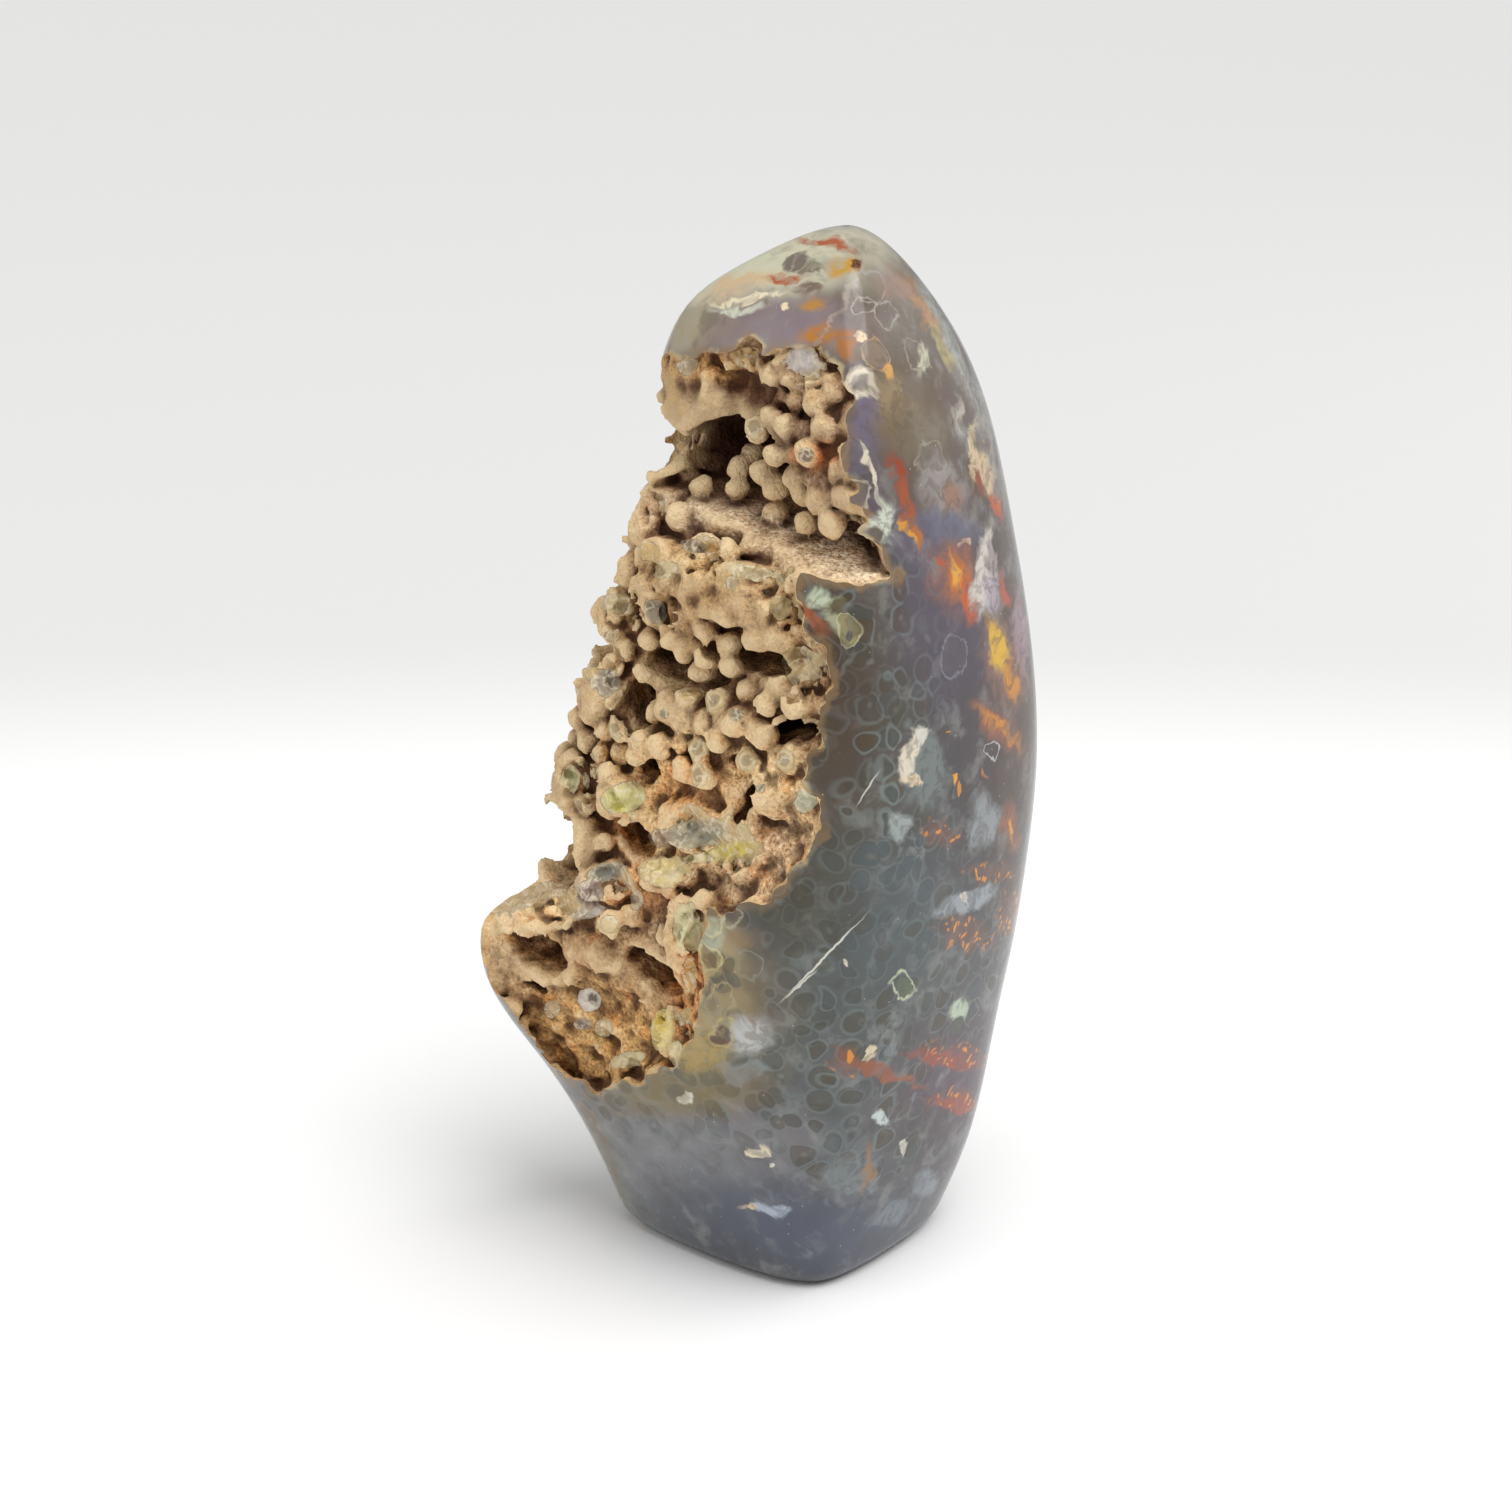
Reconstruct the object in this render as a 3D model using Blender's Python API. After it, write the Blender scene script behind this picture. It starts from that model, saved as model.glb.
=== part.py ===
"""Ocean jasper freeform: a tall polished stone whose left front is a natural botryoidal pocket.

The stone is one solid. Its polished outside is a loft of soft diamond sections, with one edge of the diamond
towards the front. The rough pocket is what is left of a smaller core where the polished skin is missing:
the core carries the broad lumps and ledges, is hollowed by the hollows, and is set all over with beads.
Sizes are millimetres here and metres in the scene. +X is right, +Y is away from the front, +Z is up.
"""

import math
import random
from collections import namedtuple

import bmesh
import bpy
import numpy as np
from mathutils import Euler, Matrix, Vector
from mathutils.bvhtree import BVHTree

MM = 0.001

# The polished body
HEIGHT = 150.0
FOOT_ROUNDING = 3.0
SIDE_EDGE_DEPTH = 7.0  # Y of the left and right edges of the diamond section
SIDES = 36
CORE_SIDES = 20
EDGE_CROWDING = 0.55  # how far the sides crowd towards the four edges of the section

# Each section: how far it reaches to the left, right, front and back, where its front edge stands, and how
# soft its four edges are (0 is a sharp diamond).
Section = namedtuple("Section", "height left right front back ridge softness")
SECTIONS = (
    Section(0.0, -21.5, 29.5, -16.0, 25.0, 8.0, 0.26),
    Section(12.0, -25.0, 32.0, -19.5, 27.0, 8.5, 0.28),
    Section(26.0, -31.5, 34.2, -23.0, 28.0, 9.0, 0.30),
    Section(36.0, -38.0, 35.8, -25.0, 28.6, 9.5, 0.32),
    Section(44.0, -40.2, 37.2, -26.4, 29.0, 10.0, 0.34),
    Section(56.0, -36.5, 38.8, -28.2, 29.0, 10.5, 0.36),
    Section(72.0, -30.8, 40.0, -29.0, 29.0, 10.5, 0.36),
    Section(90.0, -25.4, 38.8, -28.0, 28.0, 11.0, 0.36),
    Section(108.0, -19.8, 35.6, -25.0, 26.0, 11.5, 0.36),
    Section(122.0, -15.4, 32.4, -20.5, 23.5, 12.0, 0.36),
    Section(132.0, -13.0, 28.6, -15.5, 20.5, 12.5, 0.36),
    Section(139.5, -8.6, 24.2, -10.0, 17.5, 12.5, 0.36),
    Section(145.0, -1.6, 19.6, -4.5, 14.5, 12.5, 0.38),
    Section(HEIGHT, 12.5, 12.5, 7.0, 7.0, 12.5, 0.40),
)
DOME_START = 130.0
TRUNK_RINGS = 22
DOME_RINGS = 8

# The pocket
CORE_SETBACK = 4.0
RIM_SPAN = (-45.0, 4.5)  # Y of the cut through the polished face
CORNER_SPAN = (-46.0, -4.0)  # X of the cut through the left edge

# The rim of the pocket as seen from the front (X, Z), clockwise from its upper left end.
RIM = (
    (-48, 131), (-12, 131), (-7, 132.5), (-2, 134.5), (1, 137), (3, 135), (7, 136.5), (11, 136), (12, 132),
    (12, 125), (11, 121), (12.5, 116), (15, 112.5), (17.5, 108.5), (13, 107.5), (6, 108), (5, 104), (7, 100.5),
    (9.5, 98.5), (9, 93), (9, 88), (6.5, 83), (8.5, 79.5), (7.5, 73), (4, 68.5), (-1, 64), (-6, 61),
    (-8.5, 55), (-8, 47.5), (-9.5, 41), (-13, 34), (-19, 29.5), (-25, 29.5), (-30.5, 33), (-37, 39),
    (-41, 45), (-48, 48),
)
# The stretch where the left edge is missing too, as seen from the left side (Y, Z).
CORNER = (
    (1, 46), (5, 47), (9.5, 51), (12.5, 58), (14, 68), (14.8, 80), (14.4, 92), (13, 104), (10.5, 115),
    (7, 124), (3.5, 129.5), (1, 130.5),
)

# A broad form of the pocket: its centre as seen from the front, how far behind the polished face it lies,
# its half lengths along X, Y and Z, its turn about Z and its slope in the front view.
Form = namedtuple("Form", "name x z inset radii turn slope")
LUMPS = (
    Form("brow", -6.5, 127.5, 9.1, (8.5, 7.5, 6.3), -25, 8),
    Form("brow_edge", 1.0, 132.0, 5.5, (4.5, 4.5, 3.6), -20, 15),
    Form("glassy_knob", 6.2, 131.8, 5.4, (4.8, 4.6, 3.9), 0, -8),
    Form("corner_knob", 11.0, 131.0, 4.8, (3.0, 3.6, 3.4), 0, 0),
    Form("inner_knob", 8.2, 122.5, 8.0, (4.2, 5.0, 4.0), 0, 0),
    Form("shelf_post", -15.0, 111.0, 6.0, (4.6, 6.0, 5.4), -35, 12),
    Form("upper_mass", -6.5, 102.5, 10.4, (11.5, 8.0, 7.2), -34, 4),
    Form("upper_mass_left", -18.0, 98.5, 8.1, (5.6, 7.0, 6.4), -40, 0),
    Form("upper_mass_right", 3.0, 103.0, 7.7, (5.2, 6.0, 5.4), -25, 0),
    Form("tier", -2.6, 91.0, 8.0, (9.0, 6.4, 4.6), -30, 6),
    Form("tier_arm", 6.0, 95.6, 5.2, (5.4, 4.6, 4.4), -15, 28),
    Form("tier_left", -9.0, 88.0, 7.0, (5.0, 5.4, 4.0), -35, 0),
    Form("left_knob", -19.6, 85.6, 6.6, (5.0, 6.0, 5.4), -42, 0),
    Form("right_slope", 5.0, 80.5, 6.4, (5.4, 5.0, 6.6), -20, 0),
    Form("low_slope", -2.0, 71.5, 7.4, (7.6, 5.6, 7.0), -30, 0),
    Form("left_wall", -25.0, 71.5, 7.0, (4.6, 6.6, 7.6), -42, 0),
    Form("broken_plate", -9.5, 73.0, 6.0, (8.0, 5.0, 4.4), -32, 14),
    Form("green_knob", -18.0, 76.5, 5.4, (4.6, 4.6, 4.4), -40, 0),
    Form("ledge", -25.0, 53.0, 5.2, (16.0, 7.0, 3.6), -36, -20),
    Form("ledge_inner", -13.0, 60.5, 5.6, (8.0, 5.4, 4.4), -34, -14),
    Form("roof_mass", -18.5, 52.5, 7.0, (9.0, 6.0, 4.6), -34, -6),
    Form("rim_post", -8.5, 50.5, 4.2, (3.0, 3.6, 6.6), -20, 0),
    Form("finger", -27.5, 44.0, 4.4, (3.6, 3.4, 2.2), -36, 10),
)
HOLLOWS = (
    Form("cavity", 1.0, 118.0, 5.5, (12.0, 17.0, 8.2), -24, 0),
    Form("cavity_left", -9.0, 116.5, 3.5, (8.0, 9.0, 5.4), -36, 0),
    Form("cavity_right", 11.0, 113.5, 3.5, (5.6, 8.0, 5.0), 0, 0),
    Form("crevice", -3.0, 96.6, 7.6, (11.0, 7.0, 2.7), -34, 6),
    Form("crevice_left", -12.6, 93.0, 7.6, (5.6, 8.0, 4.4), -38, 0),
    Form("tier_gap", -13.6, 86.5, 8.0, (4.2, 6.0, 4.8), -40, 0),
    Form("under_tier", 1.4, 85.4, 6.6, (8.4, 5.6, 2.7), -28, 6),
    Form("left_pit", -20.5, 66.5, 7.0, (5.4, 6.0, 4.0), -40, 0),
    Form("plate_pit", -0.6, 76.6, 5.6, (3.4, 5.0, 2.2), -30, 30),
    Form("ledge_step", -38.0, 60.0, 0.0, (9.6, 16.0, 7.6), -30, 0),
    Form("lower_cavity", -24.0, 47.6, 5.6, (11.0, 7.6, 2.7), -36, 0),
    Form("lower_cavity_right", -12.5, 46.4, 6.2, (5.2, 7.6, 3.6), -34, 0),
    Form("bowl", -23.0, 38.0, 1.6, (9.6, 7.0, 5.6), -40, 0),
)
SHELF_HEIGHT = 110.3
SHELF_FORMS = ("cavity", "cavity_left", "cavity_right")  # hollows that end on the flat shelf

# The beads
BEAD_SPACING = 6.0
BEAD_RADII = (2.0, 2.9)
BEAD_SINK = 0.05  # share of its radius that a bead's centre lies under the surface
BEAD_SEED = 7
BEADS_BACK = 12.0  # no bead stands further back than this
BARE_ZONES = (  # low X, high X, low Z, high Z of stretches with no beads: sandy slopes and broken faces
    (-16, 16, 107.5, 112.5),
    (-12, 9, 66, 80),
    (-40, -9, 50, 57),
)


def natural_spline(x, knots, values):
    """The natural cubic spline through (knots, values), at x: second slopes from a tridiagonal system."""
    steps = np.diff(knots)
    slopes = np.diff(values) / steps
    system = np.eye(len(knots))
    right_side = np.zeros(len(knots))
    for i in range(1, len(knots) - 1):
        system[i, i - 1 : i + 2] = steps[i - 1], 2 * (steps[i - 1] + steps[i]), steps[i]
        right_side[i] = 6 * (slopes[i] - slopes[i - 1])
    bend = np.linalg.solve(system, right_side)
    i = int(np.clip(np.searchsorted(knots, x) - 1, 0, len(steps) - 1))
    before, after, step = x - knots[i], knots[i + 1] - x, steps[i]
    cubic = (bend[i] * after**3 + bend[i + 1] * before**3) / (6 * step)
    low = (values[i] / step - bend[i] * step / 6) * after
    high = (values[i + 1] / step - bend[i + 1] * step / 6) * before
    return cubic + low + high


def section_at(height):
    """The polished section at a height. Its sides follow the root of the distance below the top, so the
    top is round, and they draw in along a quarter circle at the foot."""
    depth = math.sqrt(max(HEIGHT - height, 0.0))
    knots = [math.sqrt(HEIGHT - s.height) for s in reversed(SECTIONS)]
    columns = list(zip(*reversed(SECTIONS)))[1:]
    left, right, front, back, ridge, softness = (natural_spline(depth, knots, c) for c in columns)
    drop = max(FOOT_ROUNDING - height, 0.0)
    tuck = FOOT_ROUNDING - math.sqrt(FOOT_ROUNDING**2 - drop**2)
    return Section(height, left + tuck, right - tuck, front + tuck, back - tuck, ridge, softness)


def section_point(section, angle, setback):
    """The point of a soft diamond section at an angle. With a and b the shares of the half widths,
    root(a^2 + s^2) + root(b^2 + s^2) is the same all round, for softness s."""
    s = section.softness
    whole = s + math.sqrt(1 + s * s)
    inner = whole * whole - 4 * s * s
    share = math.sqrt(whole * inner / (whole + math.sqrt(whole * whole - math.cos(2 * angle) ** 2 * inner)))
    across, along = share * math.cos(angle), share * math.sin(angle)
    half_x = section.right - section.ridge if across > 0 else section.ridge - section.left
    half_y = section.back - SIDE_EDGE_DEPTH if along > 0 else SIDE_EDGE_DEPTH - section.front
    x = section.ridge + max(half_x - setback, 0) * across
    y = SIDE_EDGE_DEPTH + max(half_y - setback, 0) * along
    return Vector((x, y, section.height))


def front_face(x, height):
    """Y of the polished face as seen from the front, at X and a height."""
    section = section_at(height)
    half = section.right - section.ridge if x > section.ridge else section.ridge - section.left
    share = min(abs(x - section.ridge) / half, 1.0)
    s = section.softness
    rest = s + math.sqrt(1 + s * s) - math.sqrt(share * share + s * s)
    return SIDE_EDGE_DEPTH - (SIDE_EDGE_DEPTH - section.front) * math.sqrt(max(rest * rest - s * s, 0))


def ring_heights():
    """Heights of the rings: the flat foot's edge and its rounding, an even trunk, and the dome."""
    foot = [0.0, FOOT_ROUNDING * 0.12, FOOT_ROUNDING * 0.45]
    trunk = list(np.linspace(FOOT_ROUNDING, DOME_START, TRUNK_RINGS))
    dome = [HEIGHT - (HEIGHT - DOME_START) * (1 - i / DOME_RINGS) ** 2 for i in range(1, DOME_RINGS)]
    return foot + trunk + dome


def loft_body(name, setback, sides, collection):
    """A sphere whose rings are moved on to the sections of the stone, all drawn in by a setback."""
    heights = ring_heights()
    rings = len(heights) + 1
    mesh = bmesh.new()
    bmesh.ops.create_uvsphere(mesh, u_segments=sides, v_segments=rings, radius=1.0)
    for vertex in mesh.verts:
        level = round((1 - math.acos(max(-1, min(1, vertex.co.z))) / math.pi) * rings)
        if level in (0, rings):
            foot, top = Vector((SECTIONS[0].ridge, SIDE_EDGE_DEPTH, 0)), Vector((12.5, SIDE_EDGE_DEPTH, HEIGHT))
            vertex.co = (top if level else foot) * MM
            continue
        turn = math.atan2(vertex.co.y, vertex.co.x)
        angle = turn - EDGE_CROWDING * math.sin(4 * turn) / 4
        vertex.co = section_point(section_at(heights[level - 1]), angle, setback) * MM
    return object_from(mesh, name, collection)


def object_from(mesh, name, collection):
    """An object in a collection, from a bmesh that is then freed."""
    data = bpy.data.meshes.new(name)
    mesh.to_mesh(data)
    mesh.free()
    made = bpy.data.objects.new(name, data)
    collection.objects.link(made)
    return made


def prism(name, outline, span, axis, collection):
    """A closed block that runs over a span of Y or X, from its outline in the other axis and Z."""
    turns = {"Y": (math.pi / 2, 0, 0), "X": (math.pi / 2, 0, math.pi / 2)}
    middle = sum(span) / 2 * MM
    curve = bpy.data.curves.new(name, "CURVE")
    curve.dimensions = "2D"
    curve.fill_mode = "BOTH"
    curve.extrude = (span[1] - span[0]) / 2 * MM
    spline = curve.splines.new("POLY")
    spline.points.add(len(outline) - 1)
    for point, (across, height) in zip(spline.points, outline):
        point.co = (across * MM, height * MM, 0, 1)
    spline.use_cyclic_u = True
    flat = bpy.data.objects.new(name + "_outline", curve)
    flat.rotation_euler = turns[axis]
    flat.location = (0, middle, 0) if axis == "Y" else (middle, 0, 0)
    collection.objects.link(flat)
    bpy.context.view_layer.update()
    graph = bpy.context.evaluated_depsgraph_get()
    block = bpy.data.objects.new(name, bpy.data.meshes.new_from_object(flat.evaluated_get(graph)))
    block.data.transform(flat.matrix_world)
    collection.objects.link(block)
    bpy.data.objects.remove(flat)
    mesh = bmesh.new()
    mesh.from_mesh(block.data)
    bmesh.ops.remove_doubles(mesh, verts=mesh.verts, dist=0.01 * MM)
    bmesh.ops.recalc_face_normals(mesh, faces=mesh.faces)
    mesh.to_mesh(block.data)
    mesh.free()
    return block


def ellipsoid(name, centre, radii, turn, slope, collection):
    """An icosphere stretched to three half lengths, turned about Z and sloped in the front view."""
    mesh = bmesh.new()
    bmesh.ops.create_icosphere(mesh, subdivisions=2, radius=1.0)
    rotation = Euler((0, math.radians(slope), math.radians(turn)), "XYZ").to_matrix()
    for vertex in mesh.verts:
        stretched = Vector(a * b for a, b in zip(vertex.co, radii))
        vertex.co = (centre + rotation @ stretched) * MM
    return object_from(mesh, name, collection)


def bead(name, centre, radius, collection):
    """A bead: a small round of few faces with its axis towards the front."""
    mesh = bmesh.new()
    facing = Matrix.Translation(centre * MM) @ Matrix.Rotation(math.pi / 2, 4, "X")
    bmesh.ops.create_uvsphere(mesh, u_segments=7, v_segments=4, radius=radius * MM, matrix=facing)
    return object_from(mesh, name, collection)


def add_forms(forms, collection):
    """The broad forms as ellipsoids. A hollow over the shelf is flattened to end on it."""
    for form in forms:
        centre = Vector((form.x, front_face(form.x, form.z) + form.inset, form.z))
        made = ellipsoid(form.name, centre, form.radii, form.turn, form.slope, collection)
        if form.name in SHELF_FORMS:
            for vertex in made.data.vertices:
                vertex.co.z = max(vertex.co.z, SHELF_HEIGHT * MM)


def inside_rim(x, z):
    """Whether a point of the front view lies inside the pocket's rim: an even-odd count of crossings."""
    inside = False
    for (x0, z0), (x1, z1) in zip(RIM, RIM[1:] + RIM[:1]):
        if (z0 > z) != (z1 > z) and x < x0 + (x1 - x0) * (z - z0) / (z1 - z0):
            inside = not inside
    return inside


def add_beads(core, collection):
    """Beads in staggered rows over the pocket, each sunk a little into the core where a level line from
    the front meets it."""
    chance = random.Random(BEAD_SEED)
    graph = bpy.context.evaluated_depsgraph_get()
    surface = BVHTree.FromObject(core, graph)
    rows = int(HEIGHT / (BEAD_SPACING * math.sqrt(3) / 2))
    for row in range(rows):
        for column in range(-10, 6):
            x = (column + row % 2 / 2) * BEAD_SPACING + chance.uniform(-1.2, 1.2)
            z = row * BEAD_SPACING * math.sqrt(3) / 2 + chance.uniform(-1.2, 1.2)
            radius = chance.uniform(*BEAD_RADII)
            bare = any(a < x < b and c < z < d for a, b, c, d in BARE_ZONES)
            if bare or not inside_rim(x, z):
                continue
            start = Vector((x, RIM_SPAN[0], z)) * MM
            point, normal, _, _ = surface.ray_cast(start, Vector((0, 1, 0)))
            if point is None or point.y > BEADS_BACK * MM:
                continue
            centre = point / MM - normal * BEAD_SINK * radius
            bead(f"bead_{row}_{column}", centre, radius, collection)


def combine(target, operation, operand):
    """A Boolean modifier with an object or with all of a collection. The default solver leaves open edges
    where many beads meet, so the manifold one is used."""
    modifier = target.modifiers.new(operation.title(), "BOOLEAN")
    modifier.solver = "MANIFOLD"
    modifier.operation = operation
    if isinstance(operand, bpy.types.Collection):
        modifier.operand_type = "COLLECTION"
        modifier.collection = operand
    else:
        modifier.object = operand
    return modifier


def stone_material():
    """Polished grey-green chalcedony."""
    material = bpy.data.materials.new("polished_jasper")
    material.use_nodes = True
    shader = material.node_tree.nodes["Principled BSDF"]
    shader.inputs["Base Color"].default_value = (0.16, 0.17, 0.17, 1)
    shader.inputs["Roughness"].default_value = 0.12
    shader.inputs["Metallic"].default_value = 0.0
    return material


def new_collection(name):
    made = bpy.data.collections.new(name)
    bpy.context.scene.collection.children.link(made)
    return made


def main():
    for old in list(bpy.data.objects):
        bpy.data.objects.remove(old)
    model = new_collection("ocean_jasper_freeform")
    helpers = new_collection("cutters")
    groups = {name: new_collection(name) for name in ("lumps", "hollows", "beads")}

    stone = loft_body("stone", 0.0, SIDES, model)
    core = loft_body("core", CORE_SETBACK, CORE_SIDES, helpers)
    rim = prism("rim", RIM, RIM_SPAN, "Y", helpers)
    corner = prism("corner", CORNER, CORNER_SPAN, "X", helpers)

    add_forms(LUMPS, groups["lumps"])
    add_forms(HOLLOWS, groups["hollows"])
    combine(core, "UNION", groups["lumps"])
    combine(core, "DIFFERENCE", groups["hollows"])
    bpy.context.view_layer.update()
    add_beads(core, groups["beads"])
    combine(core, "UNION", groups["beads"])

    combine(rim, "UNION", corner)
    combine(rim, "DIFFERENCE", core)
    combine(stone, "DIFFERENCE", rim)
    stone.data.materials.append(stone_material())

    for group in [helpers, *groups.values()]:
        for helper in group.objects:
            helper.hide_render = True
            helper.display_type = "WIRE"


main()
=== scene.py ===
"""Ocean jasper freeform: the polished outside, the rough pocket and the studio round them.

Lengths are millimetres until a mesh is written, which is in metres. +X is right, +Y is away from the front
and +Z is up. A place that was read off the photograph is a pixel of its 1512 x 1512 frame, and the view's
own rays carry it on to the stone.
"""
import logging
import math
from dataclasses import dataclass, field
from enum import Enum
from typing import Sequence

import bmesh
import bpy
import numpy as np
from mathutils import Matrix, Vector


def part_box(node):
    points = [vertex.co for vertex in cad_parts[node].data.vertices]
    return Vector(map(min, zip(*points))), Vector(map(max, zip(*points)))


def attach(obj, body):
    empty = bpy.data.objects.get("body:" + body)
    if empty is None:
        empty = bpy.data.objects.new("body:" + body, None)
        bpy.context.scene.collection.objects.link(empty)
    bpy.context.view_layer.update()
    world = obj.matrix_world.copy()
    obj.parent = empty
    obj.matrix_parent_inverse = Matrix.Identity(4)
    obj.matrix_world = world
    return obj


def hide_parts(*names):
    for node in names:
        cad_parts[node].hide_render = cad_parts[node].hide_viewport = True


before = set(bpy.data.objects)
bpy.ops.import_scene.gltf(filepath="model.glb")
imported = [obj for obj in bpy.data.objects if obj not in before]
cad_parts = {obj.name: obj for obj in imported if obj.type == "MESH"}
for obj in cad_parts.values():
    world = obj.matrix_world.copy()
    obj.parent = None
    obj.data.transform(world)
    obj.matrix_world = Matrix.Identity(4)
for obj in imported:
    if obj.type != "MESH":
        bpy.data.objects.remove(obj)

import openvdb
from mathutils import Matrix, Vector

LOG = logging.getLogger("freeform")
Array = np.ndarray
Colour = tuple[float, float, float]
Pixel = tuple[float, float]
Window = tuple[slice, ...]
ALL: Window = (slice(None),) * 3
Socket = bpy.types.NodeSocket
Input = Socket | float | Sequence[float]  # what a node's input takes: a link or a value
MM = 0.001
NODE = "stone"
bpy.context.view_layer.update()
TOP_GAP = 1.0  # how far the polished form's top stays below the solid's highest lump
TOP = (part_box(NODE)[1].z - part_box(NODE)[0].z) / MM - TOP_GAP


# The photograph's point of view


@dataclass(frozen=True)
class PhotoView:
    """Where the photograph was taken from: a lens, a height above the horizon and a distance."""

    lens: float = 75.0
    sensor: float = 36.0
    side: float = 1512.0
    elevation: float = math.radians(20.0)
    distance: float = 442.0
    aim: float = 75.7

    @property
    def focal(self) -> float:
        """The focal length in pixels."""
        return self.lens / self.sensor * self.side

    @property
    def eye(self) -> Array:
        """The camera's place."""
        e, d = self.elevation, self.distance
        return np.array([0.0, -d * math.cos(e), self.aim + d * math.sin(e)])

    @property
    def axes(self) -> Array:
        """Rows: the view's right, up and forward directions."""
        c, s = math.cos(self.elevation), math.sin(self.elevation)
        return np.array([[1.0, 0.0, 0.0], [0.0, s, c], [0.0, c, -s]])

    def pixels(self, x: Array, y: Array, z: Array) -> tuple[Array, Array]:
        """Pixels that points of the frame fall on, by the pinhole rule: side / 2 + focal * across / depth.

        Args:
            x, y, z: Coordinates, which may be open grids.

        Returns:
            The pixels' columns and rows.
        """
        eye, (right, up, forward) = self.eye, self.axes
        across = (x - eye[0]) * right[0]
        rise = (y - eye[1]) * up[1] + (z - eye[2]) * up[2]
        depth = (y - eye[1]) * forward[1] + (z - eye[2]) * forward[2]
        return self.side / 2 + self.focal * across / depth, self.side / 2 - self.focal * rise / depth

    def rays(self, pixels: Array) -> Array:
        """Unit directions from the camera through pixels.

        Args:
            pixels: Rows of column and row.

        Returns:
            One direction for each pixel.
        """
        right, up, forward = self.axes
        aside = (pixels[:, :1] - self.side / 2) / self.focal
        above = (self.side / 2 - pixels[:, 1:]) / self.focal
        ways = forward + aside * right + above * up
        return ways / np.linalg.norm(ways, axis=1, keepdims=True)

    def make_camera(self) -> bpy.types.Object:
        """Adds the scene's camera, with no depth of field.

        Returns:
            The camera.
        """
        data = bpy.data.cameras.new("camera")
        data.lens, data.sensor_width = self.lens, self.sensor
        camera = bpy.data.objects.new("camera", data)
        camera.location = self.eye * MM
        camera.rotation_euler = (math.pi / 2 - self.elevation, 0, 0)
        bpy.context.scene.collection.objects.link(camera)
        bpy.context.scene.camera = camera
        return camera


VIEW = PhotoView()


# The polished outside


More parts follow.
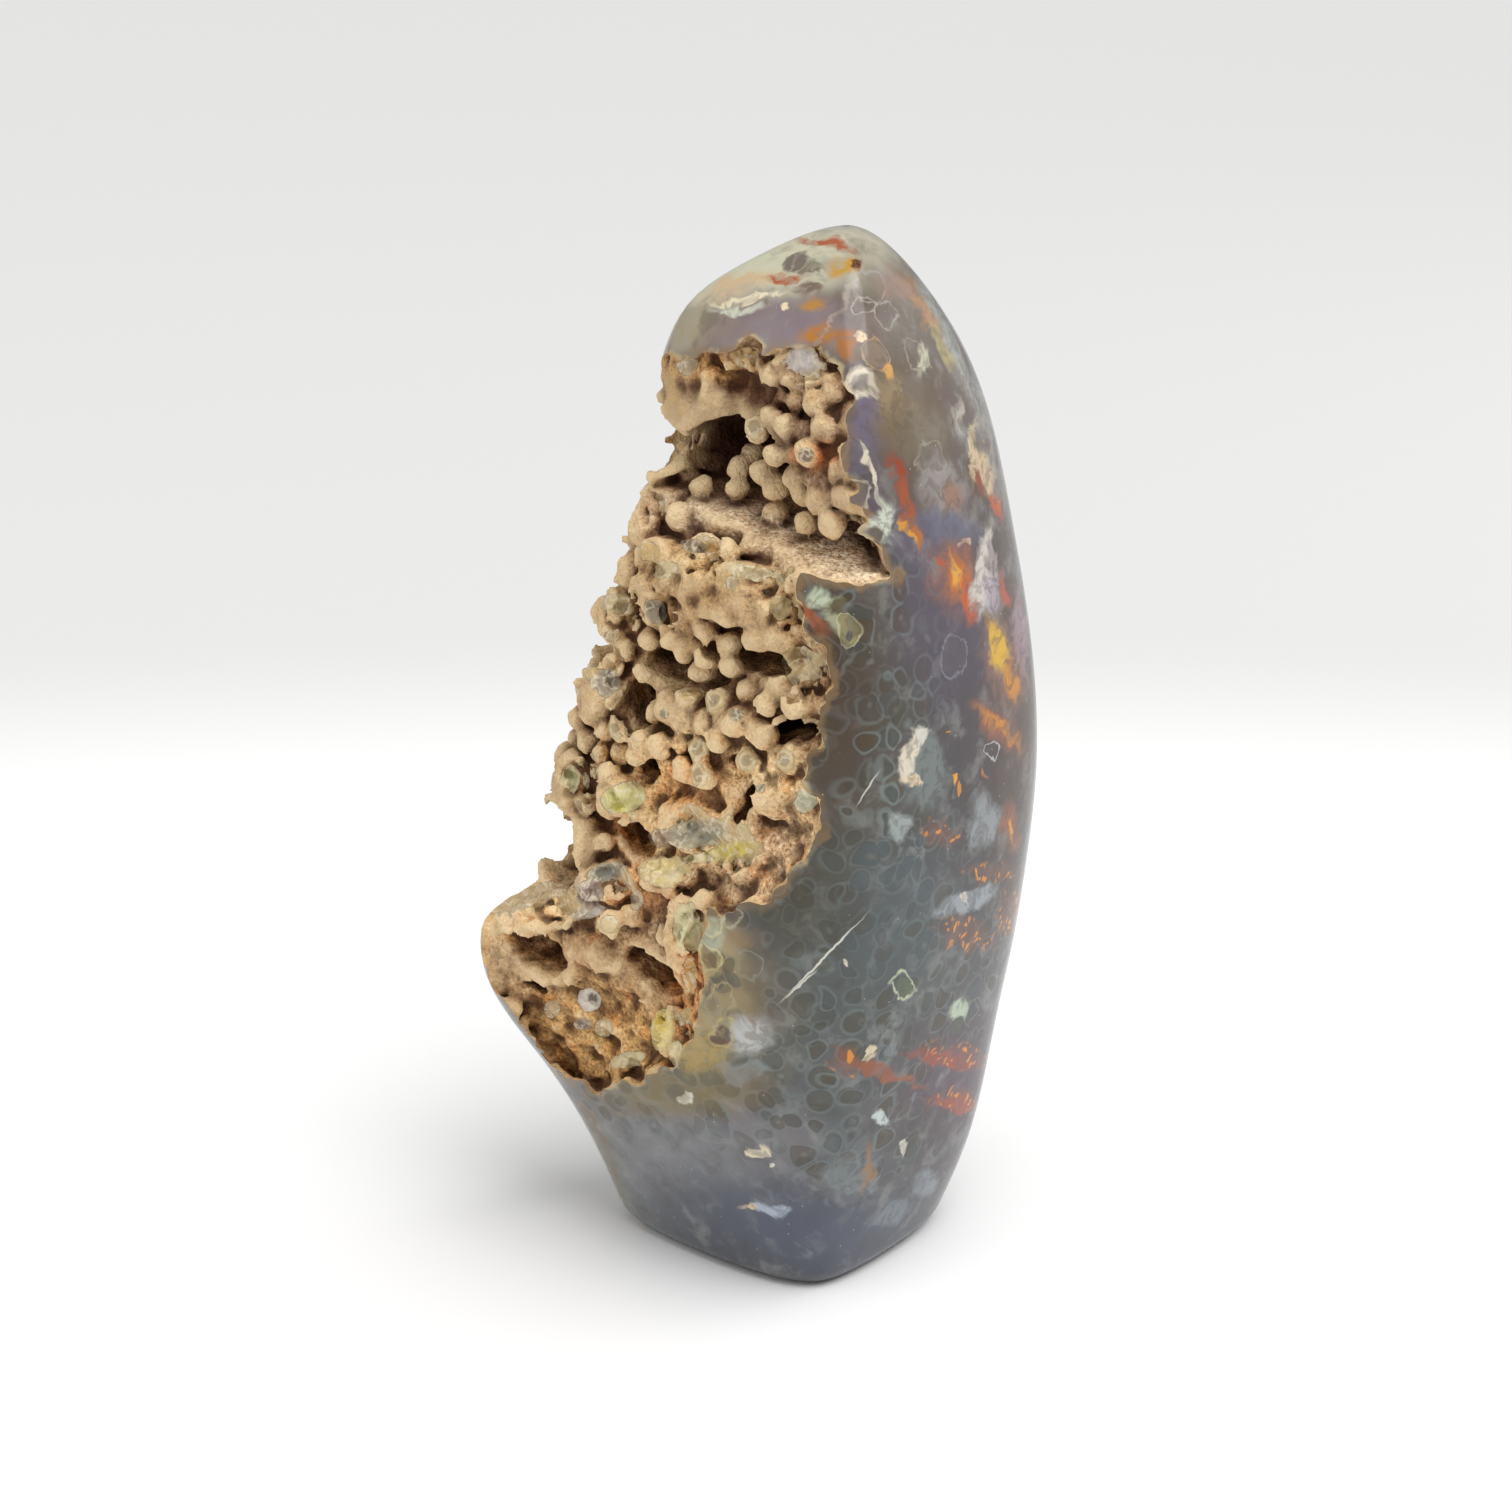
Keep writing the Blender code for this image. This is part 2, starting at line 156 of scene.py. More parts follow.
@dataclass(frozen=True)
class PolishedForm:
    """The polished outside: soft diamond sections whose reach changes with height.

    Each row of sections gives a height, the reach to the left, right, front and back, the X of the front
    edge, and the softness of the four edges (0 is a sharp diamond).
    """

    side_edge: float = 7.0  # the Y of the left and right edges
    foot_rounding: float = 3.0
    probe_reach: float = 90.0  # how far before and behind its middle the view's rays are followed
    probe_step: float = 0.1
    sections: tuple[tuple[float, ...], ...] = (
        (0.0, -19.4, 26.6, -16.0, 25.0, 8.0, 0.30),
        (12.0, -24.0, 31.2, -19.5, 27.0, 8.5, 0.30),
        (26.0, -31.5, 34.2, -23.0, 28.0, 9.0, 0.30),
        (36.0, -38.0, 35.8, -25.0, 28.6, 9.5, 0.32),
        (44.0, -40.2, 37.2, -26.4, 29.0, 10.0, 0.34),
        (56.0, -36.5, 38.8, -28.2, 29.0, 10.5, 0.36),
        (72.0, -30.8, 40.0, -29.0, 29.0, 10.5, 0.36),
        (90.0, -25.4, 38.8, -28.0, 28.0, 11.0, 0.36),
        (108.0, -19.8, 35.6, -25.0, 26.0, 11.5, 0.36),
        (122.0, -15.4, 32.4, -20.5, 23.5, 12.0, 0.36),
        (132.0, -12.5, 28.6, -15.5, 20.5, 12.5, 0.36),
        (139.5, -8.2, 24.0, -10.0, 17.5, 12.5, 0.40),
        (145.0, 0.4, 19.4, -4.5, 14.5, 12.5, 0.44),
        (TOP, 12.3, 12.3, 7.0, 7.0, 12.3, 0.50),
    )

    def outline(self, z: Array) -> Array:
        """The section at each height: a natural cubic spline in the root of the distance below the top, so
        the top is round, drawn in along a quarter circle at the foot.

        Args:
            z: Heights.

        Returns:
            Six arrays of z's shape: left, right, front, back, front edge and softness.
        """
        table = np.array(self.sections)[::-1]
        knots, values = np.sqrt(TOP - table[:, 0]), table[:, 1:]
        steps = np.diff(knots)
        slopes = np.diff(values, axis=0) / steps[:, None]
        system = np.eye(len(knots))
        inner = np.arange(1, len(knots) - 1)
        system[inner, inner - 1] = steps[:-1]
        system[inner, inner] = 2 * (steps[:-1] + steps[1:])
        system[inner, inner + 1] = steps[1:]
        bends = np.zeros_like(values)
        bends[1:-1] = 6 * np.diff(slopes, axis=0)
        bends = np.linalg.solve(system, bends)
        depth = np.sqrt(np.clip(TOP - z, 0, None))
        i = np.clip(np.searchsorted(knots, depth) - 1, 0, len(steps) - 1)
        before, after, step = depth - knots[i], knots[i + 1] - depth, steps[i]
        low = np.moveaxis(values[i], -1, 0) * after + np.moveaxis(values[i + 1], -1, 0) * before
        curve = np.moveaxis(bends[i], -1, 0) * (after**3 / step - after * step)
        curve = curve + np.moveaxis(bends[i + 1], -1, 0) * (before**3 / step - before * step)
        shape = low / step + curve / 6
        drop = np.clip(self.foot_rounding - z, 0, None)
        tuck = self.foot_rounding - np.sqrt(np.maximum(self.foot_rounding**2 - drop**2, 0))
        shape[:4] += np.stack([tuck, -tuck, tuck, -tuck])
        return shape

    def level(self, x: Array, y: Array, z: Array) -> Array:
        """How far out a point is: root(a^2 + s^2) + root(b^2 + s^2), for the shares a and b of the half
        widths and softness s, less its value on the polished face, which is 0 there and negative inside.

        Args:
            x, y, z: Coordinates, which may be open grids.

        Returns:
            One level for each point.
        """
        left, right, front, back, ridge, soft = self.outline(z)
        a = (x - ridge) / np.maximum(np.where(x > ridge, right - ridge, ridge - left), 1e-3)
        depth = np.where(y > self.side_edge, back - self.side_edge, self.side_edge - front)
        b = (y - self.side_edge) / np.maximum(depth, 1e-3)
        return np.sqrt(a * a + soft**2) + np.sqrt(b * b + soft**2) - soft - np.sqrt(1 + soft**2)

    def surface(self, angle: Array, z: Array) -> Array:
        """Points of the polished face. The share k of the half widths along an angle p solves level = 0:
        k^2 = N (N^2 - 4 s^2) / (N + root(N^2 - cos(2p)^2 (N^2 - 4 s^2))), with N = s + root(1 + s^2).

        Args:
            angle: Angles round the section, open against z.
            z: Heights.

        Returns:
            Points, with X, Y and Z in the last axis.
        """
        left, right, front, back, ridge, soft = self.outline(z)
        whole = soft + np.sqrt(1 + soft**2)
        inner = whole**2 - 4 * soft**2
        share = np.sqrt(whole * inner / (whole + np.sqrt(whole**2 - np.cos(2 * angle) ** 2 * inner)))
        across, along = share * np.cos(angle), share * np.sin(angle)
        x = ridge + np.where(across > 0, right - ridge, ridge - left) * across
        y = self.side_edge + np.where(along > 0, back - self.side_edge, self.side_edge - front) * along
        return np.stack(np.broadcast_arrays(x, y, z), -1)

    def normals(self, points: Array, reach: float = 0.02) -> Array:
        """Unit normals of the polished face at points on it: central differences of level.

        Args:
            points: Rows of X, Y and Z.
            reach: How far off the points the level is read.

        Returns:
            One direction for each point.
        """
        moves = np.eye(3) * reach
        high = np.clip(points[:, 2], reach, TOP - 2 * reach)
        base = np.column_stack([points[:, :2], high])
        slopes = [self.level(*(base + m).T) - self.level(*(base - m).T) for m in moves]
        ways = np.stack(slopes, -1)
        return ways / np.maximum(np.linalg.norm(ways, axis=1, keepdims=True), 1e-9)

    def hits(self, pixels: Sequence[Pixel], depths: Sequence[float] | float = 0.0) -> Array:
        """Where the view's rays through pixels meet the polished face, or pass nearest it, carried on
        behind it.

        Args:
            pixels: Columns and rows of the photograph.
            depths: How far behind the face, along each ray.

        Returns:
            One point for each pixel.
        """
        ways = VIEW.rays(np.array(pixels, float))
        near = VIEW.distance - self.probe_reach
        travel = near + np.arange(0, 2 * self.probe_reach, self.probe_step)
        path = VIEW.eye + travel[None, :, None] * ways[:, None, :]
        level = self.level(path[..., 0], path[..., 1], np.clip(path[..., 2], 0, TOP))
        inside = (level < 0) & (path[..., 2] > 0) & (path[..., 2] < TOP)
        met = np.where(inside.any(axis=1), np.argmax(inside, axis=1), np.argmin(level, axis=1))
        return VIEW.eye + (travel[met] + np.array(depths))[:, None] * ways


FORM = PolishedForm()


# The block of space that the pocket is worked out in


@dataclass(frozen=True)
class Block:
    """A block of evenly spaced points, and the fields worked out on them."""

    low: tuple[float, float, float] = (-44.0, -32.0, 23.0)
    high: tuple[float, float, float] = (22.0, 18.0, 140.0)
    step: float = 0.52

    @property
    def shape(self) -> tuple[int, ...]:
        """Points along X, Y and Z."""
        return tuple(int(round((b - a) / self.step)) + 1 for a, b in zip(self.low, self.high))

    def grid(self, window: Window = ALL) -> list[Array]:
        """Open X, Y and Z coordinates of a window of the block."""
        lines = [a + self.step * np.arange(n)[w] for a, n, w in zip(self.low, self.shape, window)]
        return [line.reshape([-1 if i == axis else 1 for i in range(3)]) for axis, line in enumerate(lines)]

    def offsets(self, window: Window, centre: Array) -> list[Array]:
        """Open X, Y and Z distances of a window's points from a centre."""
        return [axis - c for axis, c in zip(self.grid(window), centre)]

    def window(self, centre: Array, reach: float) -> Window:
        """The part of the block within reach of a centre along each axis.

        Args:
            centre: A point.
            reach: The distance along each axis.

        Returns:
            A slice for each axis.
        """
        first = [max(0, int((c - reach - a) / self.step)) for c, a in zip(centre, self.low)]
        last = [min(n, int((c + reach - a) / self.step) + 2) for c, a, n in zip(centre, self.low, self.shape)]
        return tuple(slice(a, max(a, b)) for a, b in zip(first, last))

    def sample(self, values: Array, points: Array) -> Array:
        """Values of a field at points, mixed from the eight block points round each.

        Args:
            values: The field, of the block's shape.
            points: Rows of X, Y and Z.

        Returns:
            One value for each point.
        """
        place = (points - np.array(self.low)) / self.step
        base = np.clip(place.astype(int), 0, np.array(self.shape) - 2)
        share = np.clip(place - base, 0, 1)
        total = np.zeros(len(points))
        for corner in np.ndindex(2, 2, 2):
            weight = np.prod(np.where(corner, share, 1 - share), axis=1)
            total += weight * values[tuple((base + corner).T)]
        return total

    def spectrum(self) -> Array:
        """Waves per millimetre of each term of the block's Fourier transform.

        Returns:
            A field of the transform's shape.
        """
        waves = [np.fft.fftfreq(n, self.step) for n in self.shape[:2]]
        waves.append(np.fft.rfftfreq(self.shape[2], self.step))
        x, y, z = (w.reshape([-1 if i == axis else 1 for i in range(3)]) for axis, w in enumerate(waves))
        return np.sqrt(x * x + y * y + z * z)

    def blur(self, values: Array, radius: float) -> Array:
        """A field smoothed by a Gaussian of a radius: its transform times exp(-2 (pi radius waves)^2)."""
        soft = np.exp(-2 * (math.pi * radius * self.spectrum()) ** 2)
        return np.fft.irfftn(np.fft.rfftn(values) * soft, self.shape, axes=(0, 1, 2))

    def ripple(self, size: float, seed: int) -> Array:
        """Even noise whose bumps are about a size across: white noise kept to a band of waves.

        Args:
            size: From one bump to the next.
            seed: The draw.

        Returns:
            A field with mean 0 and spread 1.
        """
        noise = np.random.default_rng(seed).standard_normal(self.shape, dtype=np.float32)
        waves = self.spectrum() * size
        band = np.exp(-((waves - 1) ** 2) * 4)
        made = np.fft.irfftn(np.fft.rfftn(noise) * band, self.shape, axes=(0, 1, 2))
        return made / made.std()


BLOCK = Block()


def merge(first: Array, second: Array, blend: float) -> Array:
    """The nearer of two distances, eased into one another over a blend: min(a, b) - h^2 blend / 4, with h
    the share of the blend by which they differ.

    Args:
        first, second: The distances.
        blend: How far apart they may be and still blend.

    Returns:
        The merged distance.
    """
    share = np.clip(1 - np.abs(first - second) / blend, 0, 1)
    return np.minimum(first, second) - share**2 * blend / 4


def turn_about(turn: float, slope: float) -> Array:
    """The turn about Z after the slope about Y as a matrix, which is the product of the two rotations.

    Args:
        turn: Degrees about Z.
        slope: Degrees about Y.

    Returns:
        The matrix.
    """
    a, b = math.radians(turn), math.radians(slope)
    flat = np.array([[math.cos(a), -math.sin(a), 0], [math.sin(a), math.cos(a), 0], [0, 0, 1]])
    tilt = np.array([[math.cos(b), 0, math.sin(b)], [0, 1, 0], [-math.sin(b), 0, math.cos(b)]])
    return flat @ tilt


def length(x: Array, y: Array, z: Array) -> Array:
    """The root of the sum of three squares."""
    return np.sqrt(x * x + y * y + z * z)


def oval(window: Window, centre: Array, radii: Array, turned: Array) -> Array:
    """Distance to an oval body over a window: q (q - 1) / r, with q the length of the place in shares of
    the half lengths and r that length once more divided by them.

    Args:
        window: The part of the block to fill.
        centre: The body's centre.
        radii: Its half lengths.
        turned: Its own directions as the columns of a matrix.

    Returns:
        One distance for each point of the window.
    """
    away = np.stack(np.broadcast_arrays(*BLOCK.offsets(window, centre)), -1) @ turned
    near = np.linalg.norm(away / radii, axis=-1)
    steep = np.maximum(np.linalg.norm(away / radii**2, axis=-1), 1e-6)
    return near * (near - 1) / steep


# The pocket


@dataclass(frozen=True)
class Bulk:
    """A broad form of the pocket: its centre in the photograph, its depth behind the polished face, its
    half lengths along X, Y and Z, its turn about Z and its slope in the view."""

    name: str
    at: Pixel
    depth: float
    radii: tuple[float, float, float]
    turn: float = -30.0
    slope: float = 0.0


def bulks(*rows: tuple[str | float, ...]) -> tuple[Bulk, ...]:
    """Broad forms from rows of plain values.

    Args:
        rows: Each a name, the centre's column and row, the depth, the three half lengths, and then the turn
            and the slope where they differ from the usual ones.

    Returns:
        One form for each row.
    """
    return tuple(Bulk(row[0], row[1:3], row[3], row[4:7], *row[7:]) for row in rows)


LUMPS = bulks(
    ("brow", 706, 391, 9, 8.6, 7.6, 6.2), ("brow_left", 674, 400, 7.4, 4, 6.2, 5.4),
    ("brow_low", 700, 427, 6.4, 1.9, 2.6, 1.8), ("brow_mid", 733, 424, 7.4, 3.2, 4, 2.6),
    ("brow_right", 757, 404, 7, 2.4, 3.6, 3.2), ("rim_tooth", 742, 358, 3, 3.4, 3, 1.9),
    ("glassy_knob", 808, 370, 3.8, 4.6, 4, 2.9, -10, 16), ("glassy_knob_end", 838, 388, 3.4, 2.5, 3, 2.4),
    ("inner_ball", 822, 421, 7.6, 3.7, 4.4, 3.5), ("stalk", 783, 452, 6.6, 3.3, 3.4, 2.9, -20),
    ("stalk_end", 811, 452, 4.6, 3.3, 2.8, 2, -10, 8), ("shelf_post", 643, 514, 3.4, 2.3, 3.4, 4.4),
    ("shelf_post_top", 676, 476, 8.4, 4.6, 5.6, 4.2, -30, -40), ("shelf_lip", 660, 548, 3.6, 3, 3.6, 1.6),
    ("shelf_front", 752, 596, 4.6, 13, 5, 4.4, -24), ("shelf_corner", 838, 592, 4, 8, 5, 3.6, -14),
    ("mass_top", 708, 566, 4.6, 7.4, 4.6, 2.4, -30, 2), ("mass", 702, 602, 8, 9.6, 7, 6, -32, 4),
    ("mass_left", 624, 612, 5.4, 3.6, 5.6, 4.4), ("mass_left_top", 640, 568, 5.4, 3.4, 4.6, 3.2),
    ("mass_right", 784, 606, 5.6, 3.8, 4.8, 4.2, -20), ("mass_low", 720, 640, 8.6, 5.6, 5.6, 2.8),
    ("left_knob", 607, 692, 5.6, 4, 5.6, 5.2, -36), ("tier", 694, 708, 7, 5.2, 5.6, 3, -30, 4),
    ("tier_arm", 752, 716, 5.4, 5.6, 4.4, 2.6, -22, -14),
    ("tier_shell", 797, 678, 4, 4.4, 4, 3.4, -15, -24), ("tier_foot", 655, 735, 6.6, 3.6, 4.6, 2.8),
    ("right_slope", 796, 752, 6, 3.8, 4.8, 4.2, -20),
    ("right_slope_low", 778, 790, 5.4, 4.6, 4.8, 3.6, -25, 14),
    ("left_wall", 580, 782, 5.8, 3, 6, 5.2, -38), ("left_wall_low", 596, 838, 6.8, 3.6, 6, 4.2, -38),
    ("green_knob", 622, 797, 4.6, 3.6, 4, 3.4, -34), ("plate", 704, 826, 5.2, 6.6, 5.2, 4, -34, 10),
    ("low_slope", 752, 846, 5.6, 4.6, 5, 6.4, -28, -16), ("honey_knob", 672, 872, 4.2, 5, 4.4, 3, -32, -12),
    ("ledge", 552, 912, 4.2, 9.6, 5.6, 2.7, -38, -26), ("ledge_inner", 612, 880, 4.4, 5.6, 5, 3, -36, -14),
    ("ledge_tip", 503, 926, 3.4, 2.8, 3.6, 2.4, -38, -10), ("rim_post", 684, 934, 4, 2.6, 3.8, 5.8, -26),
    ("tube", 600, 950, 6.6, 6.8, 3.4, 2.9, -36, 8), ("finger", 546, 972, 5.4, 3.8, 2.2, 1.7, -36, 12),
    ("cavity_lump", 648, 1014, 4.8, 3.2, 3.4, 2.7), ("rim_glass", 674, 1034, 2.8, 2.8, 3.4, 4.2, -26),
)
HOLLOWS = bulks(
    ("cavity", 758, 453, 14, 10.4, 13, 6.2, -24), ("cavity_low", 770, 500, 13, 12.5, 16, 6.6, -22),
    ("cavity_left", 690, 505, 8, 7, 10, 4.4, -34), ("cavity_right", 848, 540, 6, 5.4, 9, 4.6, 0),
    ("shelf_air", 784, 544, 3.4, 15.5, 10, 3.8, -22), ("crevice", 688, 668, 8, 7.6, 9, 2.5, -34),
    ("crevice_right", 756, 655, 7.4, 7.4, 7, 2.2, -26), ("tier_gap", 642, 704, 8.6, 3.2, 9, 4, -36),
    ("under_arm", 794, 728, 6.4, 5, 6, 1.7, -20, -16), ("pit", 641, 771, 6, 2.2, 7, 2.1, -34),
    ("crack", 742, 765, 7, 2.6, 4.6, 0.9, -28, 12), ("crack_low", 745, 803, 5, 1.1, 5, 3.8, -28, 24),
    ("plate_gap", 640, 836, 8.4, 4.6, 5.4, 2.2, -34, 20),
    ("lower_cavity", 534, 950, 6.6, 6, 7.6, 2.6, -36, 10),
    ("lower_cavity_right", 654, 972, 7, 5.4, 7.6, 2.6, -34, 18),
    ("finger_gap", 532, 988, 6.6, 2.4, 4, 1.1, -36, 10), ("bowl", 596, 1020, 2, 11, 5.4, 5.8, -38),
    ("left_waist", 545, 850, 3, 6.8, 17, 6.4, -38, -6), ("left_recess", 606, 562, 3, 4.6, 12, 4.2, -38),
    ("left_recess_high", 636, 470, 3, 3, 10, 3.4, -38), ("left_neck", 652, 436, 3, 4.4, 12, 4.6, -34),
    ("left_notch", 588, 646, 3, 3.8, 10, 2.8, -38),
)
SHELF_HEIGHT = 110.2
SHELF_FRONT = -16.0  # the Y at which the shelf has that height
SHELF_SLOPE = 0.2  # its rise for each millimetre towards the back
# Lumps that stand as far out as their depth says
PROUD = (
    "brow", "brow_left", "shelf_post", "shelf_front", "shelf_corner", "glassy_knob", "glassy_knob_end",
    "rim_tooth", "rim_post", "rim_glass", "shelf_lip", "ledge_tip",
)
# Hollows that are cut once more after the beads
RECUT = (
    "crevice", "crevice_right", "tier_gap", "under_arm", "pit", "crack", "crack_low", "plate_gap",
    "lower_cavity", "lower_cavity_right", "shelf_air", "left_waist", "left_recess", "left_notch",
)
SHELVED = ("cavity_low", "cavity_left", "cavity_right", "shelf_air")  # hollows that end on the shelf


@dataclass(frozen=True)
class Ball:
    """A single round bead: its centre in the photograph, its depth behind the polished face, its radius."""

    at: Pixel
    depth: float
    radius: float


BALLS = tuple(Ball((x, y), depth, radius) for x, y, depth, radius in (
    (737, 468, 13, 1.7), (738, 489, 13, 1.6), (690, 477, 12, 1.6), (702, 488, 10.6, 1.7),
    (763, 472, 9.4, 1.9), (752, 455, 15, 1.6), (776, 488, 10.6, 2), (800, 476, 8, 2.2), (805, 492, 8.4, 2),
    (826, 474, 6.6, 1.9), (821, 500, 6.4, 2.2), (833, 523, 5.4, 2.1), (775, 514, 12.6, 1.9),
    (806, 522, 9.6, 1.7), (842, 470, 3.6, 2), (850, 497, 3.4, 2.3), (680, 516, 6.4, 2),
    (668, 505, 7.4, 1.9), (705, 548, 3.8, 2.2), (725, 552, 3.6, 1.9), (652, 562, 4, 1.9),
    (742, 603, 4.6, 2.2), (722, 612, 4.6, 1.9), (688, 618, 5.4, 1.8), (670, 610, 5.6, 1.7),
    (782, 634, 4.6, 2.6), (764, 632, 4.8, 2.3), (730, 644, 5.6, 1.8), (731, 667, 5.4, 1.7),
    (702, 671, 6.8, 1.8), (676, 640, 6.4, 1.8), (800, 618, 4.2, 2.5), (792, 640, 4.8, 2),
    (706, 720, 5.4, 1.8), (737, 722, 4.6, 2.2), (690, 722, 5.6, 1.7), (668, 700, 6, 1.6),
    (762, 733, 4.6, 2.3), (645, 740, 5, 1.7), (660, 745, 4.8, 1.9), (638, 752, 5.4, 1.7),
    (610, 923, 3, 1.9), (590, 1000, 3.4, 2.2), (552, 1010, 3, 1.6), (582, 1024, 3.4, 1.4),
    (607, 1028, 3, 1.8), (557, 1033, 2.8, 1.1), (627, 1060, 2.2, 1.7), (640, 1052, 2.6, 1.5),
    (575, 1052, 2.6, 1.5), (530, 1012, 3.4, 1.7), (645, 556, 2.9, 2), (643, 588, 3.1, 2.3),
    (675, 588, 3.3, 2.4), (733, 590, 3.3, 2.1), (759, 598, 3.1, 2.1), (706, 590, 3.3, 2),
    (675, 614, 3.7, 2.1), (654, 612, 3.9, 2), (700, 606, 3.7, 1.9), (673, 638, 4.5, 1.9),
    (759, 636, 4.1, 2.3), (707, 628, 4.5, 2), (627, 620, 3.7, 1.9), (612, 604, 2.9, 2),
    (684, 652, 5.3, 1.7),
))


@dataclass(frozen=True)
class Chip:
    """A broken place: what stands out past a flat face there is gone. The face lies at a depth below the
    centre, and its slopes say how fast it goes deeper to the right and up."""

    at: Pixel
    depth: float
    radius: float
    slope_right: float = 0.0
    slope_up: float = 0.0


CHIPS = tuple(Chip((x, y), *rest) for x, y, *rest in (
    (803, 362, -0.6, 3.4, 0.05, 0.5), (735, 362, 1.2, 3, 0.2, 0.3), (640, 500, 1.4, 3.6, -0.4, 0.2),
    (697, 552, 1, 3.4, 0.2, 0.5), (760, 572, 0.8, 4, 0.1, 0.5), (655, 612, 2.4, 3, 0.4, 0.2),
    (780, 610, 1.6, 3.4, -0.3, 0.4), (615, 615, 1.6, 4, -0.2, 0.5), (604, 676, 1.8, 3.6, -0.3, 0.6),
    (796, 672, 1, 4.4, 0.1, 0.5), (697, 694, 2.6, 3, 0, 0.6), (736, 716, 2.4, 2.4, 0.1, 0.2),
    (570, 780, 1.6, 4.4, -0.2, 0.2), (622, 796, 0.4, 4.8, -0.2, 0.3), (704, 832, 1.4, 7.6, -0.1, 0.45),
    (742, 842, 1.6, 3.4, 0.4, 0.3), (672, 872, 1.2, 4.6, -0.2, 0.3), (604, 872, 1, 5.6, -0.3, 0.45),
    (545, 892, 1.2, 6.4, -0.2, 0.4), (692, 940, 0.9, 3.6, 0, 0.1), (590, 998, 1.4, 2, 0.3, -0.3),
    (676, 1030, 0.8, 3.6, -0.3, 0.1), (628, 1064, 1, 3, 0.2, 0.1),
))


# The rim of the pocket in the photograph, clockwise from its upper left end. Its left side runs outside
# the stone, where the left edge itself is missing.
RIM: tuple[Pixel, ...] = (
    (520, 350), (655, 352), (690, 360), (712, 352), (735, 349), (748, 336), (757, 340), (764, 352),
    (782, 350), (800, 345), (822, 350), (840, 362), (846, 378), (852, 400), (846, 420), (849, 440),
    (840, 452), (843, 470), (856, 486), (850, 500), (868, 520), (862, 532), (878, 545), (884, 562),
    (897, 578), (880, 580), (862, 586), (846, 582), (830, 581), (800, 574), (794, 582), (797, 600),
    (806, 615), (803, 632), (826, 650), (832, 680), (822, 705), (820, 728), (824, 745), (808, 757),
    (808, 776), (800, 787), (822, 800), (820, 828), (806, 852), (796, 872), (778, 890), (762, 903),
    (742, 905), (735, 915), (712, 912), (705, 928), (697, 945), (700, 962), (706, 985), (700, 1010),
    (697, 1030), (684, 1050), (676, 1066), (655, 1068), (640, 1082), (622, 1080), (600, 1094),
    (580, 1082), (560, 1075), (540, 1050), (524, 1030), (512, 1005), (494, 990), (488, 965), (400, 940),
)
# How far back the pocket goes behind the left edge, at heights from the foot up.
BACK_HEIGHTS = (40.0, 46.0, 51.0, 58.0, 68.0, 80.0, 92.0, 104.0, 115.0, 124.0, 130.0, 136.0)
BACK_REACH = (4.5, 6.5, 14.0, 17.0, 17.5, 17.0, 16.0, 14.4, 14.0, 12.5, 8.0, 4.0)


class Zone(Enum):
    """The kinds of ground in the pocket, by how thickly beads cover it."""

    BEADED = 1.0
    SPARSE = 0.35
    SANDY = 0.0


@dataclass(frozen=True)
class Patch:
    """A round stretch of ground in the view: its kind, and its centre and radius in pixels."""

    zone: Zone
    at: Pixel
    radius: float


GROUND = (
    Patch(Zone.SANDY, (704, 394), 56), Patch(Zone.SANDY, (660, 490), 44), Patch(Zone.SANDY, (724, 450), 36),
    Patch(Zone.SANDY, (760, 535), 46), Patch(Zone.SANDY, (690, 526), 34), Patch(Zone.SANDY, (836, 556), 40),
    Patch(Zone.SANDY, (750, 835), 75), Patch(Zone.SPARSE, (650, 830), 70), Patch(Zone.SANDY, (660, 860), 50),
    Patch(Zone.SANDY, (545, 905), 70), Patch(Zone.SANDY, (600, 950), 45), Patch(Zone.SANDY, (600, 1030), 110),
)


